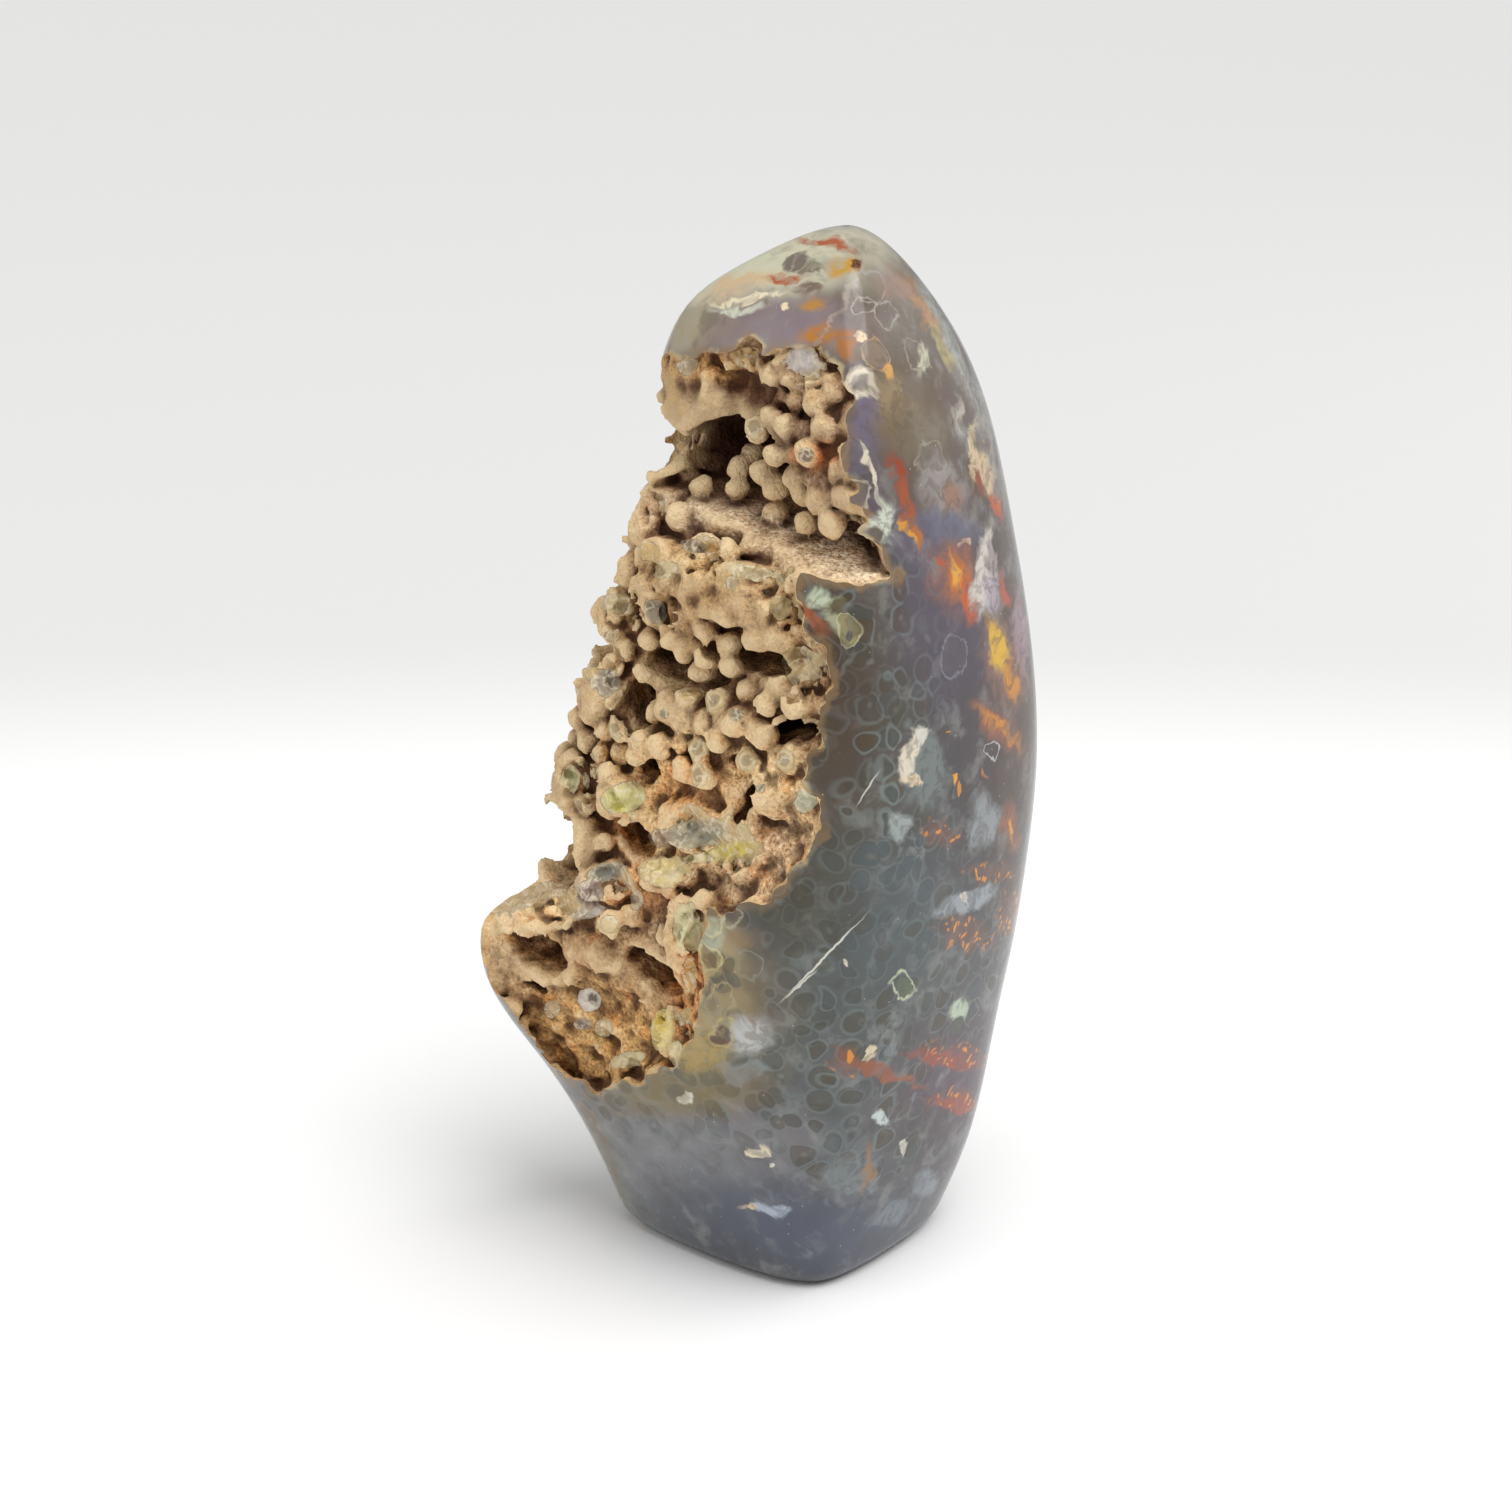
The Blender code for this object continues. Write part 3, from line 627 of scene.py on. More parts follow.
@dataclass
class Pocket:
    """The rough pocket, worked out as fields on the block: distances are negative in rock."""

    setback: float = 5.4  # of the ground behind the polished face
    rim_width: float = 6.0  # over which the ground rises to the rim
    swell: float = 0.5  # how high the ground's own swells are
    sink: float = 2.9  # of the lumps that aren't proud
    blend: float = 0.8  # between broad forms
    hollow_blend: float = 0.6  # the share of that at a hollow's edge
    bead_blend: float = 0.15
    bead_lift: float = 0.85  # of a bead's centre over the ground
    bead_spacing: float = 3.1
    bead_radii: tuple[float, float] = (1.6, 2.15)
    bead_depths: tuple[float, float] = (2.6, 7.5)  # between which beads are spread
    bead_seed: int = 11
    open_share: float = 0.16  # of the beads, whose tops are broken off
    open_heights: tuple[float, float] = (0.35, 0.75)  # of those breaks, as shares of the radius
    open_seed: int = 17
    skin: float = 0.75  # lost everywhere behind the polished face
    least_skin: float = 0.5
    wild_below: tuple[float, float] = (92.0, 14.0)  # where ground is rougher, and the way there
    wild_above: tuple[float, float] = (124.0, 3.0)
    chip_sink: float = 0.8  # the share of the sink that a chip's face lies deeper by
    chip_seed: int = 5
    fresh: float = 0.3  # the rock lost at a place that counts as broken
    rim_waver: float = 0.26
    reach_out: float = 2.0  # how far past the polished face the cut goes
    face: Array = field(init=False)
    opening: Array = field(init=False)
    rock: Array = field(init=False)
    broken: Array = field(init=False)
    core: Array = field(init=False)
    opened: list[tuple[Array, float]] = field(default_factory=list)

    def work_out(self) -> None:
        """All the fields, in order: polished face, opening, ground, broad forms, beads, grain, breaks."""
        self.face = self.face_distance()
        self.opening = self.opening_distance()
        inward = np.clip(-self.opening / self.rim_width, 0, 1)
        rise = (self.setback - self.skin) * np.sqrt(inward)
        self.rock = self.face + self.skin + rise + self.swell * BLOCK.ripple(7.0, 3)
        self.add_lumps()
        self.cut_hollows([hollow.name for hollow in HOLLOWS])
        self.add_beads()
        self.cut_hollows(RECUT)
        for ball, centre in zip(BALLS, self.ball_centres()):
            self.add_ball(centre, ball.radius)
        self.add_grain()
        self.break_tops()

    def face_distance(self) -> Array:
        """Distance to the polished face: its level over the steepness of the level.

        Returns:
            The field, kept within what the pocket needs.
        """
        level = FORM.level(*BLOCK.grid())
        steep = np.sqrt(sum(g * g for g in np.gradient(level, BLOCK.step)))
        return np.clip(level / np.maximum(steep, 0.012), -40, 12).astype(np.float32)

    def add_lumps(self) -> None:
        """Joins the lumps to the ground."""
        depths = [lump.depth + (0 if lump.name in PROUD else self.sink) for lump in LUMPS]
        for lump, centre in zip(LUMPS, FORM.hits([lump.at for lump in LUMPS], depths)):
            window, body = self.body(lump, centre)
            self.rock[window] = merge(self.rock[window], body, self.blend)

    def cut_hollows(self, names: Sequence[str]) -> None:
        """Takes the named hollows out of the rock. Those over the shelf end on it.

        Args:
            names: The hollows' names.
        """
        hollows = [hollow for hollow in HOLLOWS if hollow.name in names]
        centres = FORM.hits([hollow.at for hollow in hollows], [hollow.depth for hollow in hollows])
        for hollow, centre in zip(hollows, centres):
            window, body = self.body(hollow, centre)
            if hollow.name in SHELVED:
                body = np.maximum(body, self.under_shelf(window))
            self.rock[window] = -merge(-self.rock[window], body, self.blend * self.hollow_blend)

    def body(self, bulk: Bulk, centre: Array, margin: float = 4.0) -> tuple[Window, Array]:
        """Distance to a broad form.

        Args:
            bulk: The form.
            centre: Its place on the stone.
            margin: How far round it the distance is wanted.

        Returns:
            The part of the block round it, and the distance there.
        """
        window = BLOCK.window(centre, max(bulk.radii) + margin)
        return window, oval(window, centre, np.array(bulk.radii), turn_about(bulk.turn, bulk.slope))

    def under_shelf(self, window: Window = ALL) -> Array:
        """Open depths under the shelf, whose plane rises to the back by a slope."""
        _, y, z = BLOCK.grid(window)
        return SHELF_HEIGHT + SHELF_SLOPE * (y - SHELF_FRONT) - z

    def ball_centres(self) -> Array:
        """Where the beads whose places are known lie."""
        return FORM.hits([ball.at for ball in BALLS], [ball.depth for ball in BALLS])

    def add_ball(self, centre: Array, radius: float) -> None:
        """Joins one bead to the rock.

        Args:
            centre: The bead's centre.
            radius: Its radius.
        """
        window = BLOCK.window(centre, radius + 2)
        away = length(*BLOCK.offsets(window, centre)) - radius
        self.rock[window] = merge(self.rock[window], away, self.bead_blend)

    def add_beads(self) -> None:
        """Beads all over the beaded ground. Each is drawn from the points of the surface that are left, and
        takes those within the spacing away."""
        chance = np.random.default_rng(self.bead_seed)
        high, low = self.bead_depths
        near = np.abs(self.rock - self.bead_lift) < BLOCK.step * 0.6
        near &= (self.face < -high) & (self.face > -low)
        places = np.argwhere(near) * BLOCK.step + np.array(BLOCK.low)
        for ball, centre in zip(BALLS, self.ball_centres()):
            places = places[np.linalg.norm(places - centre, axis=1) > ball.radius + self.bead_radii[0]]
        columns, rows = VIEW.pixels(*places.T)
        cover = np.full(len(places), Zone.BEADED.value)
        for patch in GROUND:
            held = np.hypot(columns - patch.at[0], rows - patch.at[1]) < patch.radius
            cover[held] = np.minimum(cover[held], patch.zone.value)
        order = chance.permutation(len(places))
        places, cover = places[order], cover[order]
        while len(places):
            centre, wanted = places[0], cover[0]
            gap = self.bead_spacing * chance.uniform(0.9, 1.2)
            left = np.linalg.norm(places - centre, axis=1) > gap
            if chance.random() < wanted:
                radius = chance.uniform(*self.bead_radii)
                self.add_ball(centre, radius)
                if chance.random() < self.open_share:
                    self.opened.append((centre, radius))
            places, cover = places[left], cover[left]

    def add_grain(self) -> None:
        """Roughens the rock by ripples: broad bumps, ridges, small lumps and sand. The shelf stays calmer,
        and the lowest and highest ground is wilder."""
        shelf = np.clip(1 - np.abs(self.under_shelf()) / 3, 0, 1) * np.ones(BLOCK.shape)
        calm = np.clip((shelf - 0.3) * 2, 0, 1)
        _, _, z = BLOCK.grid()
        below, above = self.wild_below, self.wild_above
        wild = np.clip(np.maximum((below[0] - z) / below[1], (z - above[0]) / above[1]), 0, 1)
        broad = (0.14 + 0.06 * wild) * BLOCK.ripple(4.2, 21) * (1 - 0.7 * calm)
        ridged = np.abs(BLOCK.ripple(3.6, 24)) * 0.14 * wild
        self.rock = self.rock + broad + ridged - 0.1 * wild
        for size, seed, plain, more in ((2.1, 22, 0.07, 0.03), (1.3, 23, 0.04, 0.04)):
            self.rock = self.rock + (plain + more * wild) * BLOCK.ripple(size, seed)

    def break_tops(self) -> None:
        """Takes off what reaches the lost skin, then the tops of some beads and what stands out past the
        chips' flat faces. Keeps where the surface is such a break, and how near it is to a bead's core."""
        skin = self.face + np.maximum(self.skin + 0.35 * BLOCK.ripple(4.6, 41), self.least_skin)
        self.broken = np.zeros(BLOCK.shape, np.float32)
        self.core = np.zeros(BLOCK.shape, np.float32)
        self.rock = np.maximum(self.rock, skin)
        self.open_beads()
        uneven = 0.12 * BLOCK.ripple(2.4, 42)
        places = FORM.hits([chip.at for chip in CHIPS])
        chance = np.random.default_rng(self.chip_seed)
        for chip, place, outward in zip(CHIPS, places, FORM.normals(places)):
            side = np.cross([0, 0, 1], -outward)
            side = side / np.linalg.norm(side)
            facing = outward - chip.slope_right * side + chip.slope_up * np.cross(-outward, side) * -1
            facing = facing / np.linalg.norm(facing) + chance.uniform(-0.05, 0.05, 3)
            window = BLOCK.window(place, chip.radius + 1)
            x, y, z = BLOCK.offsets(window, place)
            above = x * facing[0] + y * facing[1] + z * facing[2]
            above = above + chip.depth + self.sink * self.chip_sink + uneven[window]
            ball = length(x, y, z) - chip.radius + 5 * uneven[window]
            cut = np.maximum(-above, ball)
            fresh = (-cut > self.rock[window] - self.fresh) & (np.abs(above) < 1.2) & (ball < 0.1)
            self.take_off(window, cut, fresh)

    def take_off(self, window: Window, cut: Array, fresh: Array) -> None:
        """Takes a form out of the rock and marks where the new surface is a break.

        Args:
            window: The part of the block that the form is in.
            cut: Distance to the form there.
            fresh: Which points are close to the break.
        """
        self.broken[window] = np.where(fresh, 1.0, self.broken[window])
        self.rock[window] = np.maximum(self.rock[window], -cut)

    def open_beads(self) -> None:
        """Cuts the chosen beads flat across, roughly square to the way out. The core is 1 in the middle of a
        cut face and 0 at its edge."""
        outwards = FORM.normals(np.array([centre for centre, _ in self.opened]))
        chance = np.random.default_rng(self.open_seed)
        for (centre, radius), outward in zip(self.opened, outwards):
            outward = outward + chance.uniform(-0.5, 0.5, 3)
            outward = outward / np.linalg.norm(outward)
            height = chance.uniform(*self.open_heights) * radius
            window = BLOCK.window(centre, radius + 0.8)
            x, y, z = BLOCK.offsets(window, centre)
            above = x * outward[0] + y * outward[1] + z * outward[2]
            away = length(x, y, z)
            cut = np.maximum(height - above, away - radius - 0.4)
            side = np.sqrt(np.maximum(away**2 - above**2, 0)) / (0.85 * radius)
            fresh = (np.abs(above - height) < 0.9) & (side < 1)
            self.core[window] = np.where(fresh, np.maximum(1 - side, 0.01), self.core[window])
            self.take_off(window, cut, fresh)

    def opening_distance(self) -> Array:
        """Distance to the way into the pocket: inside the rim as the view sees it, and not past the back.

        Returns:
            The field.
        """
        x, y, z = BLOCK.grid()
        inside = rim_distance(*VIEW.pixels(x, y, z)) / (VIEW.focal / VIEW.distance)
        back = y - np.interp(z, BACK_HEIGHTS, BACK_REACH)
        waver = self.rim_waver * BLOCK.ripple(4.2, 31) + 0.2 * BLOCK.ripple(2.2, 32)
        return np.maximum(inside, back) + waver

    def void(self) -> Array:
        """Distance to the space that is cut out: the opening outside the rock, to just past the face."""
        return np.maximum(np.maximum(self.opening, -self.rock), self.face - self.reach_out)


def rim_distance(columns: Array, rows: Array, pitch: float = 2.0) -> Array:
    """Distance in pixels to the rim's outline, negative inside. It is worked out on a flat raster of the
    view, as the least distance to a side with the sign of the even-odd count, and read off between points.

    Args:
        columns: Columns to read at.
        rows: Rows to read at.
        pitch: Pixels from one raster point to the next.

    Returns:
        One distance for each place.
    """
    corners = np.array(RIM, float)
    low, high = corners.min(0) - 60, corners.max(0) + 60
    across = np.arange(low[0], high[0], pitch)[:, None]
    down = np.arange(low[1], high[1], pitch)[None, :]
    least = np.full((across.size, down.size), np.inf)
    inside = np.zeros(least.shape, bool)
    for (ax, ay), (bx, by) in zip(corners, np.roll(corners, -1, axis=0)):
        share = ((across - ax) * (bx - ax) + (down - ay) * (by - ay)) / ((bx - ax) ** 2 + (by - ay) ** 2)
        share = np.clip(share, 0, 1)
        least = np.minimum(least, np.hypot(across - ax - share * (bx - ax), down - ay - share * (by - ay)))
        if ay != by:
            crossed = ((ay > down) != (by > down)) & (across < ax + (bx - ax) * (down - ay) / (by - ay))
            inside ^= crossed
    flat = np.where(inside, -least, least)
    i = np.clip((columns - low[0]) / pitch, 0, across.size - 1.001)
    j = np.clip((rows - low[1]) / pitch, 0, down.size - 1.001)
    i, j = np.broadcast_arrays(i, j)
    a, b = i.astype(int), j.astype(int)
    s, t = i - a, j - b
    near = flat[a, b] * (1 - t) + flat[a, b + 1] * t
    far = flat[a + 1, b] * (1 - t) + flat[a + 1, b + 1] * t
    return near * (1 - s) + far * s


# Colours and finishes


def rgb(red: float, green: float, blue: float) -> tuple[float, float, float, float]:
    """A colour for a shader from the values that a screen shows, v of 255: v / 12.92 below 0.04045, else
    ((v + 0.055) / 1.055)^2.4.

    Args:
        red, green, blue: Values from 0 to 255.

    Returns:
        The three values in even light and a 1.
    """
    values = np.array([red, green, blue]) / 255
    made = np.where(values < 0.04045, values / 12.92, ((values + 0.055) / 1.055) ** 2.4)
    return (*made.tolist(), 1.0)


@dataclass(frozen=True)
class Mark:
    """A patch of colour on the stone, its own colour or in some marks painted light or shade: its centre in
    the photograph, its half lengths in pixels across and up, its colour, how soft its edge is, its turn in
    the view in degrees and how strongly it covers.
    is drawn as an outline of that width instead, as a share of the half lengths."""

    name: str
    at: Pixel
    size: Pixel
    colour: Colour
    soft: float = 0.5
    turn: float = 0.0
    strength: float = 1.0
    ring: float = 0.0


def marks(*rows: tuple[str | float, ...]) -> tuple[Mark, ...]:
    """Marks from rows of plain values.

    Args:
        rows: Each a name, the centre's column and row, two half lengths, red, green and blue, and then the
            softness, turn, strength and ring as far as they differ from a mark's usual ones.

    Returns:
        One mark for each row.
    """
    return tuple(Mark(row[0], row[1:3], row[3:5], row[5:8], *row[8:]) for row in rows)


# Broad tints of the polished stone, mostly its own colour; foot is partly painted shade at the base, and
# foot_left and foot_edge are partly painted reflection of the floor on the lower left
POLISHED_TINTS_AND_SHADING = marks(
    ("middle", 850, 940, 150, 170, 88, 93, 92, 0.7), ("centre", 850, 740, 110, 150, 86, 82, 75, 0.6),
    ("right_low", 975, 740, 75, 190, 76, 70, 72, 0.6, 6),
    ("right_foot", 960, 1090, 90, 120, 84, 77, 80, 0.6),
    ("upper_right", 920, 430, 95, 150, 93, 76, 64, 0.6, 20),
    ("shoulder", 885, 290, 70, 75, 112, 102, 90, 0.6), ("haze", 870, 470, 46, 80, 100, 90, 100, 0.6, 20),
    ("haze_low", 930, 540, 60, 30, 100, 92, 102, 0.6, 20),
    ("cap", 770, 262, 120, 44, 196, 190, 166, 0.4, 8), ("cap_strip", 755, 328, 105, 34, 146, 130, 118),
    ("cap_left", 680, 330, 34, 26, 170, 158, 132, 0.6, 30),
    ("brown_by_rim", 826, 700, 50, 110, 88, 77, 66, 0.7),
    ("olive_by_rim", 800, 880, 60, 60, 84, 82, 72, 0.7),
    ("brown_low", 745, 1010, 50, 60, 112, 104, 88, 0.7), ("rim_honey", 712, 990, 30, 100, 172, 154, 112),
    ("rim_low", 680, 1090, 90, 34, 124, 112, 86, 0.5, 12),
    ("foot_left", 660, 1190, 130, 70, 130, 131, 134, 0.6, 18),
    ("foot", 820, 1240, 190, 70, 82, 85, 92, 0.6),
    ("foot_edge", 578, 1180, 46, 100, 128, 130, 122, 0.6, 25),
    ("right_rim", 1018, 720, 30, 200, 86, 74, 70, 0.6, 4),
)
CALM = marks(
    ("foot_left", 660, 1200, 150, 90, 0, 0, 0, 0.5, 14), ("foot", 830, 1255, 210, 80, 0, 0, 0),
    ("cap", 770, 290, 150, 80, 0, 0, 0, 0.4), ("upper_right", 930, 430, 90, 140, 0, 0, 0, 0.6, 18),
    ("right", 990, 690, 60, 200, 0, 0, 0, 0.5, 4), ("right_foot", 970, 1090, 60, 60, 0, 0, 0),
)
WASHES = marks(
    ("brown_by_rim", 826, 690, 46, 110, 70, 54, 36, 0.8, 0, 0.6),
    ("olive_by_rim", 790, 900, 56, 50, 66, 60, 44, 0.8, 0, 0.5),
    ("rust_low", 740, 1000, 36, 40, 116, 98, 70, 0.8, 0, 0.4),
    ("violet_right", 945, 620, 46, 70, 92, 82, 104, 0.8, 14, 0.5),
    ("violet_top", 790, 325, 60, 22, 128, 112, 124, 0.8, 0, 0.5),
    ("blue_low", 800, 1225, 90, 36, 90, 96, 116, 0.8, -10, 0.5),
    ("blue_slate", 900, 900, 60, 70, 84, 94, 100, 0.8, 0, 0.4),
    ("olive_right", 905, 430, 40, 60, 112, 96, 66, 0.8, 10, 0.5),
    ("honey_low", 690, 1090, 70, 26, 128, 110, 68, 0.7, 10, 0.5),
    ("violet_band", 960, 1080, 50, 40, 104, 88, 104, 0.8, -18, 0.5),
)
MARKS = marks(
    ("mint_cap", 752, 272, 72, 20, 200, 200, 172, 0.3, 12),
    ("brown_cap", 736, 284, 38, 12, 206, 172, 132, 0.5, 10, 0.8),
    ("cream_line", 748, 299, 40, 3.5, 232, 220, 188, 0.5, 2),
    ("mint_line", 738, 309, 26, 4, 206, 208, 190, 0.5, -4),
    ("red_cap", 826, 243, 28, 6, 166, 90, 56, 0.5, -12),
    ("red_cap_low", 786, 276, 19, 6, 170, 96, 60, 0.4, -5),
    ("disc_a", 796, 262, 14, 7, 118, 106, 96, 0.3, 10), ("disc_b", 815, 267, 13, 6, 126, 114, 98, 0.3),
    ("disc_c", 807, 290, 12, 7, 122, 104, 92, 0.4), ("honey_cap", 848, 266, 15, 12, 190, 146, 62),
    ("amber_cap", 857, 263, 8, 8, 92, 44, 14, 0.4),
    ("lavender_strip", 790, 320, 46, 18, 134, 120, 126, 0.6, 0, 0.8),
    ("amber_a", 814, 305, 8, 6, 190, 134, 46, 0.7), ("amber_b", 818, 334, 16, 12, 184, 122, 46, 0.6, -10),
    ("amber_c", 845, 345, 11, 16, 170, 110, 56, 0.6, 10), ("spark_a", 785, 313, 5, 5, 236, 216, 180, 0.3),
    ("spark_b", 858, 338, 8, 7, 230, 206, 170, 0.3, 20),
    ("facet_line", 838, 312, 2, 66, 186, 170, 154, 0.5, -31, 0.5),
    ("orb_a", 871, 286, 15, 17, 176, 168, 160, 0.3, 0, 0.7, 0.16),
    ("orb_b", 864, 303, 12, 10, 184, 176, 166, 0.3, 0, 0.7, 0.16),
    ("orb_c", 886, 312, 11, 13, 178, 170, 160, 0.3, 0, 0.7, 0.16),
    ("orb_c_core", 885, 311, 6, 7, 112, 100, 96, 0.3, 0, 0.7),
    ("brown_shoulder", 897, 285, 22, 18, 146, 116, 100, 0.6, 10, 0.8),
    # Painted reflection of the room's light along the right edge
    ("edge_sky_top", 948, 338, 9, 56, 178, 184, 180, 0.7, 27, 0.6),
    ("edge_sky", 986, 430, 8, 60, 170, 172, 168, 0.7, 15, 0.5),
    ("shoulder_disc", 876, 353, 10, 15, 146, 128, 112, 0.3, 0, 0.8),
    ("shoulder_disc_rim", 876, 353, 12, 17, 190, 160, 122, 0.3, 0, 0.8, 0.14),
    ("tan_patch", 890, 400, 22, 26, 158, 138, 108, 0.6, 14, 0.8),
    ("violet_by_rim", 866, 414, 14, 36, 114, 106, 128, 0.6, 10, 0.8),
    ("olive_patch", 902, 430, 26, 24, 122, 106, 84, 0.6, 0, 0.8),
    ("grey_patch", 926, 432, 26, 26, 122, 112, 96, 0.5, 20, 0.7),
    ("patch_disc", 930, 458, 15, 13, 108, 98, 88, 0.3, 0, 0.8),
    ("patch_disc_rim", 930, 458, 17, 15, 160, 152, 136, 0.3, 0, 0.7, 0.14),
    ("patch_disc_high", 908, 446, 12, 14, 116, 104, 88, 0.3, 0, 0.7),
    ("white_specks", 960, 414, 5, 18, 196, 190, 176, 0.5, 12, 0.6),
    ("pale_cloud", 944, 489, 24, 30, 152, 146, 144, 0.5, 20, 0.8),
    ("cloud_core", 953, 497, 10, 14, 150, 112, 86, 0.5, 10, 0.8),
    ("slate_band", 946, 526, 44, 13, 106, 108, 126, 0.6, -6, 0.8),
    ("cream_vein", 974, 456, 4.5, 32, 206, 186, 150, 0.4, -8, 0.9),
    ("vein_brown", 981, 482, 9, 15, 128, 88, 66, 0.4, 16, 0.8),
    ("cream_spot", 964, 543, 4.4, 3.8, 206, 186, 154, 0.3),
    ("edge_violet", 1020, 640, 8, 44, 168, 142, 152, 0.6, 6, 0.7),
    ("disc_f", 955, 655, 17, 18, 92, 86, 92, 0.3, 0, 0.7),
    ("disc_f_rim", 955, 655, 19, 20, 140, 142, 150, 0.3, 0, 0.6, 0.12),
    ("tan_streak", 926, 312, 7, 34, 172, 124, 78, 0.6, 27, 0.9),
    ("olive_streak", 942, 346, 5, 20, 166, 156, 98, 0.6, 30, 0.8),
    ("white_patch", 860, 385, 15, 18, 222, 210, 188, 0.25, -20),
    ("white_patch_specks", 865, 387, 7, 8, 72, 62, 52, 0.6, 0, 0.8),
    ("spark_c", 886, 368, 4, 10, 206, 160, 96, 0.4, 10),
    ("mint_a", 921, 362, 6, 20, 196, 196, 168, 0.3, -12, 0.8),
    ("orb_d", 913, 354, 10, 15, 164, 146, 136, 0.3, 0, 0.8, 0.16),
    ("orb_e", 914, 388, 14, 12, 112, 98, 86, 0.4, 20, 0.8),
    ("cream_thread", 869, 470, 3.4, 26, 214, 204, 182, 0.3, 16),
    ("cream_thread_low", 878, 500, 3.4, 14, 206, 204, 180, 0.3, 4),
    ("mint_lace", 882, 526, 13, 28, 202, 208, 190, 0.25, -6),
    ("lace_disc", 876, 545, 12, 14, 108, 96, 84, 0.2),
    ("lace_orb", 852, 497, 13, 13, 112, 102, 98, 0.3, 0, 0.9),
    ("lace_orb_rim", 852, 497, 15, 15, 184, 174, 152, 0.3, 0, 0.9, 0.14),
    ("red_streak", 896, 474, 6, 20, 150, 74, 50, 0.5, 14),
    ("red_streak_mid", 906, 505, 8, 22, 160, 88, 58, 0.5, 20),
    ("red_streak_low", 915, 535, 6, 16, 176, 110, 62, 0.5, 22),
    ("gold_thread", 908, 530, 2.4, 14, 212, 152, 66, 0.5, 24),
    ("edge_cream", 985, 470, 11, 22, 204, 180, 148, 0.4, 24),
    ("edge_brown", 978, 478, 7, 10, 150, 84, 56, 0.4, 20),
    ("edge_orange", 996, 504, 6, 15, 186, 92, 56, 0.5, 16),
    ("flame_halo", 955, 578, 26, 34, 146, 98, 76, 0.5, 14),
    ("flame", 958, 574, 13, 26, 188, 108, 50, 0.5, 16),
    ("flame_core", 956, 572, 5, 20, 222, 160, 62, 0.6, 16),
    ("flame_left", 938, 562, 6, 7, 176, 88, 56, 0.4), ("flame_low", 968, 602, 8, 22, 190, 92, 50, 0.5, 12),
    ("edge_lace", 984, 572, 10, 48, 204, 198, 188, 0.35, -6),
    ("edge_lace_disc", 990, 556, 7, 15, 150, 138, 138, 0.4, 0, 0.9),
    ("edge_lace_low", 991, 596, 8, 22, 178, 168, 176, 0.4, -10, 0.8),
    ("edge_red", 1003, 590, 6, 16, 168, 92, 70, 0.5, 10),
    ("yellow_halo", 1004, 664, 20, 46, 146, 112, 100, 0.5, 16, 0.8),
    ("yellow_streak", 998, 648, 9, 28, 212, 170, 58, 0.5, 12),
    ("yellow_streak_low", 1010, 680, 6, 20, 196, 134, 56, 0.5, 10),
    ("orange_halo", 998, 728, 34, 12, 140, 94, 76, 0.5, -36),
    ("orange_band", 1000, 727, 30, 5.5, 196, 128, 48, 0.6, -34),
    ("small_ring", 992, 750, 6.5, 8, 190, 192, 192, 0.3, 0, 0.9, 0.2),
    ("mint_patch", 822, 597, 16, 9, 192, 200, 174, 0.3, -26),
    ("mint_patch_low", 838, 612, 8, 18, 176, 178, 146, 0.4, -10, 0.8),
    ("disc_d", 843, 607, 9, 12, 104, 96, 70, 0.3), ("disc_e", 850, 631, 12, 13, 150, 142, 100, 0.25),
    ("disc_e_core", 850, 631, 5, 5, 80, 74, 66, 0.3),
    ("disc_e_rim", 850, 631, 13, 14, 196, 192, 152, 0.3, 0, 0.8, 0.12),
    ("orange_lens", 815, 619, 9, 20, 164, 92, 56, 0.5, 30),
    ("tooth_ground", 926, 770, 24, 40, 114, 122, 120, 0.3, 10),
    ("tooth", 911, 752, 9, 26, 220, 210, 190, 0.25, -14),
    ("tooth_head", 920, 735, 9, 8, 212, 208, 196, 0.25, 20),
    ("tooth_foot", 912, 777, 9, 5, 226, 206, 172, 0.3, -10),
    ("dot_a", 954, 779, 3.6, 5.5, 226, 156, 56, 0.4, 30),
    ("dot_b", 962, 786, 2.8, 4.5, 214, 140, 56, 0.4, 20), ("dot_c", 947, 731, 2, 2.4, 206, 142, 56, 0.4),
    ("dot_d", 985, 779, 2.4, 4, 204, 134, 66, 0.4), ("rust_a", 1010, 826, 11, 22, 146, 98, 76, 0.5, 4),
    ("dot_e", 1010, 832, 4, 11, 214, 146, 54, 0.4, 4),
    ("milk_a", 984, 822, 17, 26, 152, 158, 160, 0.35, -8, 0.8),
    ("milk_b", 900, 824, 13, 14, 160, 168, 166, 0.3, 10, 0.9),
    ("milk_c", 968, 900, 36, 11, 158, 164, 170, 0.35, 14, 0.9),
    ("milk_c_spark", 963, 896, 4, 6, 222, 216, 204, 0.3),
    ("red_band", 944, 1060, 44, 7.5, 160, 74, 58, 0.5, -18),
    ("red_band_mid", 884, 1072, 50, 5, 150, 92, 64, 0.5, -26),
    ("red_band_low", 958, 1104, 36, 7, 164, 82, 60, 0.5, -18),
    ("cream_chip", 873, 1053, 6, 10, 218, 204, 172, 0.2, -18),
    ("green_disc", 903, 990, 8, 13, 96, 106, 80, 0.2),
    ("green_disc_rim", 901, 987, 11, 16, 196, 204, 172, 0.3, 6, 0.9, 0.16),
    ("mint_b", 958, 1012, 11, 13, 184, 196, 174, 0.3, 10),
    ("mint_b_disc", 957, 1026, 7, 9, 88, 92, 82, 0.25),
    ("snow", 748, 1034, 17, 20, 196, 198, 198, 0.6, 0, 0.9),
    ("chip_a", 758, 1152, 9, 7, 226, 214, 184, 0.2, 20), ("chip_b", 686, 1100, 5, 5, 222, 214, 196, 0.3),
    ("chip_c", 775, 1168, 4, 3.4, 228, 222, 208, 0.3),
